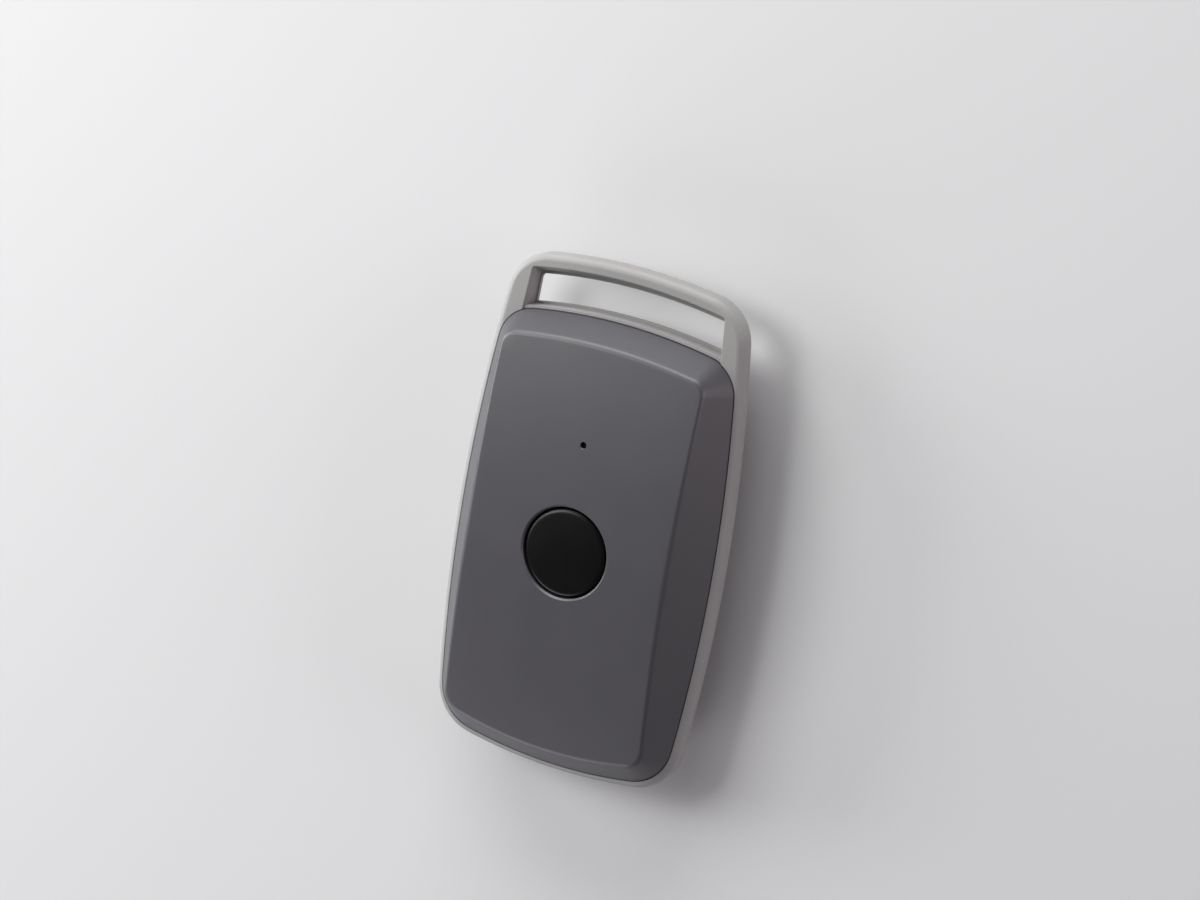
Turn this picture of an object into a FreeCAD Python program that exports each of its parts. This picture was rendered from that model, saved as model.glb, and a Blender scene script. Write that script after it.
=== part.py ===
import FreeCAD, Part
import math
import os

import PartDesign
import Sketcher

# Hand-held panic button: a bevelled front cover, a light rim frame with a lanyard slot, and a
# rear cover, screwed together from behind round one circuit board. The part lies on its back:
# +Z is out of the front, +Y is towards the lanyard slot, and the origin is the middle of the
# back's bounding rectangle. All sizes are in millimetres.

Vector = FreeCAD.Vector

# Driving dimensions: name, size, what it is
DRIVING = (
    ("frame_half_width", 22.65, "rim frame, half of the widest width"),
    ("frame_side_radius", 259.0, "rim frame, bow of the long sides"),
    ("frame_side_y", -3.8, "where the long sides are widest"),
    ("frame_half_length", 40.0, "rim frame, half of the length"),
    ("frame_top_radius", 95.5, "rim frame, bow of the lanyard end"),
    ("frame_bottom_radius", 86.5, "rim frame, bow of the lower end"),
    ("frame_top_corner", 7.2, "rim frame, corner radius at the lanyard end"),
    ("frame_bottom_corner", 7.8, "rim frame, corner radius at the lower end"),
    ("frame_thickness", 3.7, "rim frame, front to back"),
    ("frame_front_round", 1.2, "rounding of the rim's front outer edge"),
    ("frame_back_round", 1.1, "rounding of the rim's back outer edge"),
    ("frame_back_z", 5.5, "height of the rim's back face"),
    ("rebate_depth", 0.9, "step in the rim that a cover's edge stands in"),
    ("cover_gap", 0.2, "open joint between a cover and the rim"),
    ("cover_inset", 1.06, "cover edge inside the rim's outline"),
    ("crossbar_width", 0.82, "bar between the lanyard slot and the covers"),
    ("cover_top_radius", 90.0, "bow of the covers' lanyard end"),
    ("cover_bottom_radius", 76.6, "bow of the covers' lower end"),
    ("cover_top_corner", 5.9, "covers' corner radius at the lanyard end"),
    ("cover_bottom_corner", 7.2, "covers' corner radius at the lower end"),
    ("cover_wall", 1.8, "wall of both covers"),
    ("gasket_thickness", 0.3, "flat gasket under each cover's edge"),
    ("gasket_width", 1.2, "flat gasket, across"),
    ("gasket_inset", 0.3, "gasket inside the cover's edge"),
    ("front_edge_z", 9.25, "height where the front cover's bevels start"),
    ("crown_top_z", 16.04, "highest point of the front face"),
    ("crown_y", -1.4, "where the front face is highest"),
    ("crown_along_radius", 215.0, "crown of the front face, lengthwise"),
    ("crown_across_radius", 489.0, "crown of the front face, crosswise"),
    ("bevel_side", 4.75, "front cover, plan width of the side bevels"),
    ("bevel_top", 4.25, "front cover, plan width of the bevel at the lanyard end"),
    ("bevel_bottom", 5.26, "front cover, plan width of the lower bevel"),
    ("face_side_radius", 346.0, "bow of the side bevels' upper edges"),
    ("face_top_radius", 90.0, "bow of the upper bevel edge at the lanyard end"),
    ("face_bottom_radius", 61.0, "bow of the upper bevel edge at the lower end"),
    ("face_corner", 0.7, "corner radius of the flat front face"),
    ("hollow_corner", 0.8, "corner radius of the hollow under the front face"),
    ("rear_bevel_side", 3.9, "rear cover, plan width of the side bevels"),
    ("rear_bevel_top", 3.2, "rear cover, plan width of the bevel at the lanyard end"),
    ("rear_bevel_bottom", 3.6, "rear cover, plan width of the lower bevel"),
    ("rear_corner", 3.2, "corner radius of the flat back"),
    ("rear_hollow_inset", 0.6, "hollow's floor inside the flat back's outline"),
    ("rear_edge_height", 0.75, "upright band of the rear cover below its edge"),
    ("back_edge_width", 0.7, "bevel round the flat back, plan width"),
    ("back_edge_height", 0.4, "bevel round the flat back, height"),
    ("bar_width", 3.53, "bar of the rim outside the lanyard slot"),
    ("slot_height", 4.37, "lanyard slot, clear opening, lengthwise"),
    ("slot_top_radius", 92.0, "bow of the slot's outer side"),
    ("slot_bottom_radius", 91.0, "bow of the slot's inner side"),
    ("slot_margin", 6.65, "rim beside the lanyard slot's outer corners"),
    ("slot_flare", 0.15, "how much wider each side gets towards the inner side"),
    ("slot_front_flare", 0.5, "the same at the slot's front edge"),
    ("slot_slope", 1.08, "slope of the bar towards the slot, plan width"),
    ("slot_lip", 0.25, "thin lip round the back of the slot"),
    ("slot_lip_thickness", 0.7, "lip, front to back"),
    ("slot_corner", 0.9, "corner radius of the slot"),
    ("slot_front_corner", 0.5, "corner radius of the slot's front edge"),
    ("crossbar_lip", 0.35, "the same lip along the crossbar"),
    ("crossbar_step", 0.35, "crossbar below the slot, set back from the rim's front"),
    ("button_y", -3.57, "centre of the alarm button and its switch"),
    ("button_hole_radius", 7.1, "hole in the front face"),
    ("button_gap", 0.3, "gap round the button"),
    ("button_hole_chamfer", 0.22, "chamfer of the hole's rim"),
    ("button_dome", 0.3, "height of the button's domed top"),
    ("button_sink", 0.02, "button's middle below the front face"),
    ("button_bevel_width", 0.25, "bevel of the button's edge, plan width"),
    ("button_bevel_height", 0.15, "bevel of the button's edge, height"),
    ("button_roof", 1.5, "thickness of the button's top"),
    ("button_skirt", 1.3, "wall of the button's skirt"),
    ("button_flange", 1.2, "flange that keeps the button in"),
    ("button_flange_thickness", 0.7, "flange, front to back"),
    ("collar_wall", 2.1, "collar round the button hole"),
    ("collar_bottom_z", 13.6, "height of the collar's lower face"),
    ("seal_thickness", 0.4, "silicone ring on the button's flange"),
    ("indicator_margin", 26.63, "centre of the indicator inside the rim's lanyard end"),
    ("indicator_hole_radius", 0.52, "indicator hole in the front face"),
    ("indicator_sink", 0.6, "light guide's end below the front face"),
    ("guide_radius", 1.4, "light guide, wide part"),
    ("guide_top_z", 13.0, "top of the light guide's wide part"),
    ("guide_socket_wall", 0.9, "wall of the light guide's socket"),
    ("led_gap", 0.2, "light guide above the indicator lamp"),
    ("small_clearance", 0.05, "clearance of parts that fit in one another"),
    ("screw_side_margin", 9.65, "case screws inside the rim's long sides"),
    ("screw_top_margin", 7.78, "case screws inside the covers' lanyard end"),
    ("screw_bottom_margin", 10.5, "case screws inside the rim's lower end"),
    ("post_radius", 3.4, "posts of the rear cover"),
    ("boss_radius", 2.9, "screw bosses of the front cover"),
    ("boss_top_z", 12.95, "height where the bosses are inside the front wall"),
    ("pilot_radius", 0.95, "pilot hole in a boss"),
    ("pilot_depth", 3.2, "pilot hole, depth"),
    ("screw_radius", 1.1, "case screw, outside of the thread"),
    ("screw_engagement", 2.9, "case screw, length in the boss"),
    ("screw_hole_radius", 1.3, "clearance hole for a case screw"),
    ("screw_head_radius", 2.05, "case screw head"),
    ("screw_head_height", 1.5, "case screw head, height"),
    ("screw_recess_radius", 2.4, "recess for a screw head"),
    ("screw_recess_depth", 3.0, "recess for a screw head, depth"),
    ("board_side_margin", 5.65, "circuit board inside the rim's long sides"),
    ("board_top_margin", 4.78, "circuit board inside the covers' lanyard end"),
    ("board_bottom_margin", 7.5, "circuit board inside the rim's lower end"),
    ("board_corner", 5.0, "circuit board, corner radius"),
    ("board_thickness", 1.2, "circuit board"),
    ("switch_size", 6.0, "switch housing, square"),
    ("switch_height", 3.2, "switch housing, height"),
    ("switch_plate_thickness", 0.3, "steel plate on the switch"),
    ("plunger_radius", 1.7, "switch plunger"),
    ("plunger_rise", 1.5, "plunger above the switch plate"),
    ("plunger_foot_radius", 2.4, "plunger's foot"),
    ("plunger_foot_thickness", 0.5, "plunger's foot, height"),
    ("plunger_clearance", 0.15, "plunger in the plate, all round"),
    ("cell_radius", 12.25, "coin cell"),
    ("cell_thickness", 5.0, "coin cell, height"),
    ("cell_y", -8.0, "centre of the coin cell"),
    ("cell_crimp", 0.6, "crimped rim of the coin cell"),
    ("contact_radius", 4.2, "leaf contact under the board"),
    ("contact_tip_radius", 1.0, "leaf contact, tip on the cell"),
    ("contact_leaf", 0.25, "leaf contact, thickness"),
    ("notch_width", 11.0, "finger notch of the battery holder"),
    ("holder_wall", 1.15, "battery holder wall"),
    ("holder_roof", 0.4, "battery holder, thickness against the board"),
    ("holder_clearance", 0.2, "coin cell in its holder, all round"),
    ("clip_thickness", 0.3, "spring strip of a battery contact"),
    ("clip_width", 6.0, "battery contact strip, width"),
    ("pad_width", 5.5, "foam pad, across"),
    ("pad_length", 12.0, "foam pad, lengthwise"),
    ("pad_thickness", 0.4, "foam pad under the battery"),
    ("antenna_margin", 2.4, "antenna inside the board's edge"),
    ("antenna_y", -3.0, "antenna, middle of its length"),
    ("antenna_length", 30.0, "antenna, length"),
    ("antenna_height", 2.6, "antenna above the board"),
    ("antenna_strip", 0.9, "antenna strip, width"),
    ("shield_margin", 5.8, "centre of the radio shield inside the board's end"),
    ("shield_length", 15.0, "radio shield, across"),
    ("shield_width", 9.0, "radio shield, lengthwise"),
    ("shield_height", 2.2, "radio shield, height"),
    ("shield_wall", 0.25, "radio shield, sheet thickness"),
    ("shield_corner", 0.2, "radio shield, corner radius"),
    ("coil_margin", 7.0, "centre of the drum coil inside the board's edge"),
    ("coil_end_margin", 14.0, "centre of the drum coil inside the board's lower end"),
    ("coil_radius", 2.2, "drum coil"),
    ("coil_height", 2.0, "drum coil, height"),
    ("led_length", 3.2, "indicator lamp, length"),
    ("led_width", 2.6, "indicator lamp, width"),
    ("chip_margin", 6.5, "centre of the control chip inside the board's edge"),
    ("chip_y", 7.5, "centre of the control chip, lengthwise"),
    ("chip_size", 6.0, "control chip, square"),
    ("chip_height", 0.9, "control chip and radio chip, height"),
    ("radio_chip_size", 5.0, "radio chip, square"),
    ("crystal_length", 3.2, "crystal, length"),
    ("crystal_width", 2.5, "crystal, width"),
    ("crystal_height", 0.8, "crystal, height"),
    ("row_margin", 8.0, "row of capacitors inside the board's lower end"),
    ("row_gap", 3.0, "row of resistors from the capacitors"),
    ("row_spacing", 3.0, "capacitors and resistors, spacing in a row"),
    ("small_length", 1.6, "capacitors and resistors, length"),
    ("small_width", 0.8, "capacitors and resistors, width"),
    ("capacitor_height", 0.8, "capacitors, height"),
    ("resistor_height", 0.5, "resistors, height"),
    ("drive_length", 2.2, "cross recess of a screw head, length"),
    ("drive_width", 0.6, "cross recess of a screw head, width"),
    ("drive_depth", 0.9, "cross recess of a screw head, depth"),
)


class Size:
    """A length that holds both its number and the sheet formula it comes from."""

    def __init__(self, text, number):
        self.text = text
        self.number = number

    def __float__(self):
        return float(self.number)

    def __add__(self, other):
        return combined(self, "+", other)

    def __radd__(self, other):
        return combined(other, "+", self)

    def __sub__(self, other):
        return combined(self, "-", other)

    def __rsub__(self, other):
        return combined(other, "-", self)

    def __mul__(self, other):
        return combined(self, "*", other)

    def __rmul__(self, other):
        return combined(other, "*", self)

    def __truediv__(self, other):
        return combined(self, "/", other)

    def __neg__(self):
        return combined(0, "-", self)


def as_size(value):
    if isinstance(value, Size):
        return value
    return Size("(%r)" % float(value), float(value))


def combined(left, sign, right):
    a = as_size(left)
    b = as_size(right)
    results = {"+": a.number + b.number, "-": a.number - b.number, "*": a.number * b.number}
    if sign == "/":
        results["/"] = a.number / b.number
    return Size("(%s %s %s)" % (a.text, sign, b.text), results[sign])


doc = FreeCAD.newDocument("panic_button")


class Sheet:
    """The spreadsheet of driving dimensions, read as attributes."""

    def __init__(self, rows):
        self.cells = doc.addObject("Spreadsheet::Sheet", "Sizes")
        for index, (alias, number, note) in enumerate(rows):
            row = index + 1
            self.cells.set("A%d" % row, alias)
            self.cells.set("B%d" % row, str(number))
            self.cells.setAlias("B%d" % row, alias)
            self.cells.set("C%d" % row, note)
            setattr(self, alias, Size("Sizes." + alias, number))
        doc.recompute()


s = Sheet(DRIVING)


def bind(thing, path, size):
    """Tie a property or a named constraint to the sheet."""
    thing.setExpression(path, as_size(size).text)


# Places that follow from the driving dimensions
slot_top_y = s.frame_half_length - s.bar_width
slot_bottom_y = slot_top_y - s.slot_height
slot_half_width = s.frame_half_width - s.slot_margin
cover_top_y = slot_bottom_y - s.crossbar_width
board_half_width = s.frame_half_width - s.board_side_margin
board_top_y = cover_top_y - s.board_top_margin
board_bottom_y = s.board_bottom_margin - s.frame_half_length
screw_x = s.frame_half_width - s.screw_side_margin
screw_top_y = cover_top_y - s.screw_top_margin
screw_bottom_y = s.screw_bottom_margin - s.frame_half_length
shield_y = board_top_y - s.shield_margin
indicator_y = s.frame_half_length - s.indicator_margin
chip_x = s.chip_margin - board_half_width

# Heights that follow from the driving dimensions
frame_front_z = s.frame_back_z + s.frame_thickness
front_web_z = frame_front_z - s.rebate_depth
rear_web_z = s.frame_back_z + s.rebate_depth
front_cover_z = front_web_z + s.gasket_thickness
rear_cover_z = rear_web_z - s.gasket_thickness
strip_z = s.cover_wall + s.pad_thickness
cell_z = strip_z + s.clip_thickness
holder_roof_z = cell_z + s.cell_thickness + 0.1
board_z = holder_roof_z + s.holder_roof
board_top_z = board_z + s.board_thickness
switch_top_z = board_top_z + s.switch_height
plate_top_z = switch_top_z + s.switch_plate_thickness
plunger_top_z = plate_top_z + s.plunger_rise


socket_bottom_z = board_top_z + 1.6
roof_core_z = s.crown_top_z - 1.1


# Sketches
def origin_plane(body, role):
    for feature in body.Origin.OriginFeatures:
        if feature.Role == role:
            return feature
    raise RuntimeError("no plane " + role)


def new_body(label):
    body = doc.addObject("PartDesign::Body", label)
    body.Label = label
    return body


def new_sketch(body, name, across=0, up=0, out=0, plane="XY_Plane"):
    """A sketch on one of the body's own planes, moved by the given sizes."""
    sketch = body.newObject("Sketcher::SketchObject", name)
    sketch.AttachmentSupport = [(origin_plane(body, plane), "")]
    sketch.MapMode = "FlatFace"
    bind(sketch, "AttachmentOffset.Base.x", across)
    bind(sketch, "AttachmentOffset.Base.y", up)
    bind(sketch, "AttachmentOffset.Base.z", out)
    return sketch


class Rules:
    """The constraints of one sketch, gathered first and then added together."""

    def __init__(self, sketch):
        self.sketch = sketch
        self.constraints = []
        self.sizes = []

    def keep(self, kind, *where):
        self.constraints.append(Sketcher.Constraint(kind, *where))

    def measure(self, name, size, kind, *where):
        """A driving constraint with a name, tied to the sheet."""
        constraint = Sketcher.Constraint(kind, *where, float(size))
        constraint.Name = name
        self.constraints.append(constraint)
        self.sizes.append((name, size))

    def place(self, name, x, y, edge, end):
        self.measure("x" + name, x, "DistanceX", -1, 1, edge, end)
        self.measure("y" + name, y, "DistanceY", -1, 1, edge, end)

    def apply(self):
        self.sketch.addConstraint(self.constraints)
        for name, size in self.sizes:
            bind(self.sketch, "Constraints." + name, size)


def add_circle(sketch, radius):
    """A circle round the sketch's origin."""
    index = sketch.addGeometry(Part.Circle(Vector(0, 0, 0), Vector(0, 0, 1), float(radius)))
    rules = Rules(sketch)
    rules.keep("Coincident", index, 3, -1, 1)
    rules.measure("radius", radius, "Radius", index)
    rules.apply()


def add_polygon(sketch, points, closed=True):
    """Straight edges through points given as pairs of sizes, each corner placed by the sheet."""
    count = len(points)
    edges = count if closed else count - 1
    first = len(sketch.Geometry)
    lines = []
    rules = Rules(sketch)
    for index in range(edges):
        a = points[index]
        b = points[(index + 1) % count]
        start = Vector(float(a[0]), float(a[1]), 0)
        end = Vector(float(b[0]), float(b[1]), 0)
        lines.append(Part.LineSegment(start, end))
    for index in range(edges if closed else edges - 1):
        rules.keep("Coincident", first + index, 2, first + (index + 1) % edges, 1)
    for index, (x, y) in enumerate(points):
        edge = first + min(index, edges - 1)
        rules.place(str(first + index), x, y, edge, 1 if index < edges else 2)
    sketch.addGeometry(lines)
    rules.apply()


def add_rectangle(sketch, x0, x1, y0, y1):
    add_polygon(sketch, ((x0, y0), (x1, y0), (x1, y1), (x0, y1)))


def arc(centre, radius, start, end):
    circle = Part.Circle(Vector(centre[0], centre[1], 0), Vector(0, 0, 1), radius)
    return Part.ArcOfCircle(circle, start, end)


class Outline:
    """The rounded four-sided outline that the rim and the covers share: arcs for the long
    sides, the two ends and the corners, alike on both sides of the middle."""

    def __init__(self, half_width, side_radius, side_y, top_y, top_radius, bottom_y,
                 bottom_radius, top_corner, bottom_corner):
        self.half_width = half_width
        self.side_radius = side_radius
        self.side_y = side_y
        self.top_y = top_y
        self.top_radius = top_radius
        self.bottom_y = bottom_y
        self.bottom_radius = bottom_radius
        self.top_corner = top_corner
        self.bottom_corner = bottom_corner

    def inset(self, distance, corner=None):
        """The outline moved in all round, with a corner radius of its own if one is given."""
        return Outline(
            self.half_width - distance, self.side_radius - distance, self.side_y,
            self.top_y - distance, self.top_radius - distance, self.bottom_y + distance,
            self.bottom_radius - distance, corner or self.top_corner - distance,
            corner or self.bottom_corner - distance)

    def draw(self, sketch):
        side_radius = float(self.side_radius)
        top_radius = float(self.top_radius)
        bottom_radius = float(self.bottom_radius)
        top_corner = float(self.top_corner)
        bottom_corner = float(self.bottom_corner)
        side = (float(self.half_width) - side_radius, float(self.side_y))
        top = (0.0, float(self.top_y) - top_radius)
        bottom = (0.0, float(self.bottom_y) + bottom_radius)
        upper = corner_centre(side, side_radius, top, top_radius, top_corner, 1)
        lower = corner_centre(side, side_radius, bottom, bottom_radius, bottom_corner, -1)
        at_top = angle_of(top, upper)
        at_upper_side = angle_of(side, upper)
        at_lower_side = angle_of(side, lower)
        at_bottom = angle_of(bottom, lower)
        half_turn = math.pi
        left_side = (-side[0], side[1])
        left_upper = (-upper[0], upper[1])
        left_lower = (-lower[0], lower[1])
        pieces = (
            arc(top, top_radius, at_top, half_turn - at_top),
            arc(left_upper, top_corner, half_turn - at_top, half_turn - at_upper_side),
            arc(left_side, side_radius, half_turn - at_upper_side, half_turn - at_lower_side),
            arc(left_lower, bottom_corner, half_turn - at_lower_side, half_turn - at_bottom),
            arc(bottom, bottom_radius, half_turn - at_bottom, 2 * half_turn + at_bottom),
            arc(lower, bottom_corner, at_bottom, at_lower_side),
            arc(side, side_radius, at_lower_side, at_upper_side),
            arc(upper, top_corner, at_upper_side, at_top),
        )
        first = len(sketch.Geometry)
        sketch.addGeometry(list(pieces))
        count = len(pieces)
        rules = Rules(sketch)
        for index in range(count):
            rules.keep("Tangent", first + index, 2, first + (index + 1) % count, 1)
        top_arc, upper_left, side_left, lower_left, bottom_arc, lower_right, side_right, \
            upper_right = range(first, first + count)
        rules.keep("PointOnObject", top_arc, 3, -2)
        rules.keep("PointOnObject", bottom_arc, 3, -2)
        rules.keep("Symmetric", side_left, 3, side_right, 3, -2)
        rules.keep("Equal", upper_left, upper_right)
        rules.keep("Equal", lower_left, lower_right)
        rules.keep("Equal", side_left, side_right)
        tag = "g%d_" % first
        rules.measure(tag + "top_radius", self.top_radius, "Radius", top_arc)
        rules.measure(tag + "bottom_radius", self.bottom_radius, "Radius", bottom_arc)
        rules.measure(tag + "side_radius", self.side_radius, "Radius", side_right)
        rules.measure(tag + "top_corner", self.top_corner, "Radius", upper_right)
        rules.measure(tag + "bottom_corner", self.bottom_corner, "Radius", lower_right)
        rules.measure(tag + "top_y", self.top_y - self.top_radius, "DistanceY", -1, 1,
                      top_arc, 3)
        rules.measure(tag + "bottom_y", self.bottom_y + self.bottom_radius, "DistanceY",
                      -1, 1, bottom_arc, 3)
        rules.measure(tag + "side_x", self.half_width - self.side_radius, "DistanceX", -1, 1,
                      side_right, 3)
        rules.measure(tag + "side_y", self.side_y, "DistanceY", -1, 1, side_right, 3)
        rules.apply()


def angle_of(centre, point):
    return math.atan2(point[1] - centre[1], point[0] - centre[0])


def corner_centre(side, side_radius, end, end_radius, radius, sign):
    """Centre of the corner arc that touches the right side arc and an end arc from inside."""
    apart = math.hypot(end[0] - side[0], end[1] - side[1])
    from_side = side_radius - radius
    from_end = end_radius - radius
    along = (apart ** 2 + from_side ** 2 - from_end ** 2) / (2 * apart)
    off = math.sqrt(from_side ** 2 - along ** 2)
    ux = (end[0] - side[0]) / apart
    uy = (end[1] - side[1]) / apart
    choices = [(side[0] + ux * along - uy * off * way, side[1] + uy * along + ux * off * way)
               for way in (1, -1)]
    return max(choices, key=lambda place: place[0] + sign * place[1])


frame_outline = Outline(
    s.frame_half_width, s.frame_side_radius, s.frame_side_y, s.frame_half_length,
    s.frame_top_radius, -s.frame_half_length, s.frame_bottom_radius, s.frame_top_corner,
    s.frame_bottom_corner)
cover_outline = Outline(
    s.frame_half_width - s.cover_inset, s.frame_side_radius - s.cover_inset, s.frame_side_y,
    cover_top_y, s.cover_top_radius, s.cover_inset - s.frame_half_length,
    s.cover_bottom_radius, s.cover_top_corner, s.cover_bottom_corner)
face_outline = Outline(
    cover_outline.half_width - s.bevel_side, s.face_side_radius, s.crown_y,
    cover_outline.top_y - s.bevel_top, s.face_top_radius,
    cover_outline.bottom_y + s.bevel_bottom, s.face_bottom_radius, s.face_corner,
    s.face_corner)
back_outline = Outline(
    cover_outline.half_width - s.rear_bevel_side, cover_outline.side_radius, s.frame_side_y,
    cover_outline.top_y - s.rear_bevel_top, s.cover_top_radius,
    cover_outline.bottom_y + s.rear_bevel_bottom, s.cover_bottom_radius, s.rear_corner,
    s.rear_corner)
opening_outline = cover_outline.inset(s.cover_wall)


# Features
def solid_volume(body):
    return body.Shape.Volume if body.Shape and not body.Shape.isNull() else 0.0


def finished(body, feature, before, direction):
    """Recompute, then check that the volume changed: up for 1, down for -1, either for 0."""
    body.Tip = feature
    doc.recompute()
    change = solid_volume(body) - before
    if change * direction < 0 or abs(change) < 1e-6:
        raise RuntimeError("%s did not change the solid: %.4f" % (feature.Name, change))
    return feature


def pad(body, sketch, name, height, reverse=False):
    before = solid_volume(body)
    feature = body.newObject("PartDesign::Pad", name)
    feature.Profile = sketch
    feature.Reversed = reverse
    bind(feature, "Length", height)
    return finished(body, feature, before, 1)


def pocket(body, sketch, name, depth, upwards=False, both_ways=False):
    """Cut along the sketch's normal: away from it by default, along it with upwards."""
    before = solid_volume(body)
    feature = body.newObject("PartDesign::Pocket", name)
    feature.Profile = sketch
    feature.Reversed = upwards
    feature.Midplane = both_ways
    bind(feature, "Length", depth)
    return finished(body, feature, before, -1)


def loft(body, lower, upper, name, kind="Additive"):
    before = solid_volume(body)
    feature = body.newObject("PartDesign::%sLoft" % kind, name)
    feature.Profile = lower
    feature.Sections = [upper]
    feature.Ruled = True
    return finished(body, feature, before, 1 if kind == "Additive" else -1)


def turn(body, sketch, name, axis="V_Axis", angle=360, kind="Revolution"):
    before = solid_volume(body)
    feature = body.newObject("PartDesign::" + kind, name)
    feature.Profile = sketch
    feature.ReferenceAxis = (sketch, [axis])
    feature.Midplane = angle < 360
    feature.Angle = angle
    return finished(body, feature, before, 1 if kind == "Revolution" else -1)


def edges_where(body, test):
    """Names of the edges of the body's shape whose bounding box passes the test."""
    names = []
    for index, edge in enumerate(body.Shape.Edges):
        if test(edge.BoundBox):
            names.append("Edge%d" % (index + 1))
    if not names:
        raise RuntimeError("no edge found on " + body.Label)
    return names


def round_edges(body, name, radius, test):
    before = solid_volume(body)
    base = body.Tip
    names = edges_where(body, test)
    feature = body.newObject("PartDesign::Fillet", name)
    feature.Base = (base, names)
    bind(feature, "Radius", radius)
    return finished(body, feature, before, 0)


def bevel_edges(body, name, size, test):
    before = solid_volume(body)
    base = body.Tip
    names = edges_where(body, test)
    feature = body.newObject("PartDesign::Chamfer", name)
    feature.Base = (base, names)
    bind(feature, "Size", size)
    return finished(body, feature, before, 0)


def level(box, height, slack=0.01):
    """Whether a bounding box lies flat at a height."""
    return abs(box.ZMin - float(height)) < slack and abs(box.ZMax - float(height)) < slack


SCREW_PLACES = (
    (screw_x, screw_top_y),
    (-screw_x, screw_top_y),
    (screw_x, screw_bottom_y),
    (-screw_x, screw_bottom_y),
)


# Rim frame
def slot_region(sketch, top_y, bottom_y, half_width, flare, corner):
    """Curved window: an arc at the outer side, an arc at the inner side, straight flanks that
    open towards the inner side, and rounded corners at the outer side."""
    top_radius = float(s.slot_top_radius)
    bottom_radius = float(s.slot_bottom_radius)
    upper_x = float(half_width)
    lower_x = float(half_width + flare)
    round_radius = float(corner)
    top_centre = (0.0, float(top_y) - top_radius)
    bottom_centre = (0.0, float(bottom_y) - bottom_radius)
    bottom_angle = math.acos(lower_x / bottom_radius)
    lower_y = bottom_centre[1] + bottom_radius * math.sin(bottom_angle)
    tilt = 0.0
    for _ in range(6):
        round_x = upper_x - round_radius * math.cos(tilt)
        round_y = top_centre[1] + math.sqrt((top_radius - round_radius) ** 2 - round_x ** 2)
        upper_y = round_y + round_radius * math.sin(tilt)
        tilt = math.atan2(lower_x - upper_x, upper_y - lower_y)
    top_angle = angle_of(top_centre, (round_x, round_y))
    half_turn = math.pi
    first = len(sketch.Geometry)
    sketch.addGeometry([
        arc(top_centre, top_radius, top_angle, half_turn - top_angle),
        arc((-round_x, round_y), round_radius, half_turn - top_angle, half_turn - tilt),
        Part.LineSegment(Vector(-upper_x, upper_y, 0), Vector(-lower_x, lower_y, 0)),
        arc(bottom_centre, bottom_radius, bottom_angle, half_turn - bottom_angle),
        Part.LineSegment(Vector(lower_x, lower_y, 0), Vector(upper_x, upper_y, 0)),
        arc((round_x, round_y), round_radius, tilt, top_angle),
    ])
    top_arc, left_round, left, bottom_arc, right, right_round = range(first, first + 6)
    rules = Rules(sketch)
    for joint in ((top_arc, 2, left_round, 1), (left_round, 2, left, 1),
                  (right, 2, right_round, 1), (right_round, 2, top_arc, 1)):
        rules.keep("Tangent", *joint)
    rules.keep("Coincident", left, 2, bottom_arc, 2)
    rules.keep("Coincident", bottom_arc, 1, right, 1)
    rules.keep("PointOnObject", top_arc, 3, -2)
    rules.keep("PointOnObject", bottom_arc, 3, -2)
    rules.keep("Equal", left_round, right_round)
    rules.measure("top_radius", s.slot_top_radius, "Radius", top_arc)
    rules.measure("bottom_radius", s.slot_bottom_radius, "Radius", bottom_arc)
    rules.measure("corner", corner, "Radius", right_round)
    rules.measure("top_y", top_y - s.slot_top_radius, "DistanceY", -1, 1, top_arc, 3)
    rules.measure("bottom_y", bottom_y - s.slot_bottom_radius, "DistanceY", -1, 1,
                  bottom_arc, 3)
    rules.measure("right_upper", half_width, "DistanceX", -1, 1, right, 2)
    rules.measure("right_lower", half_width + flare, "DistanceX", -1, 1, right, 1)
    rules.measure("left_upper", -half_width, "DistanceX", -1, 1, left, 1)
    rules.measure("left_lower", -(half_width + flare), "DistanceX", -1, 1, left, 2)
    rules.apply()


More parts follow.
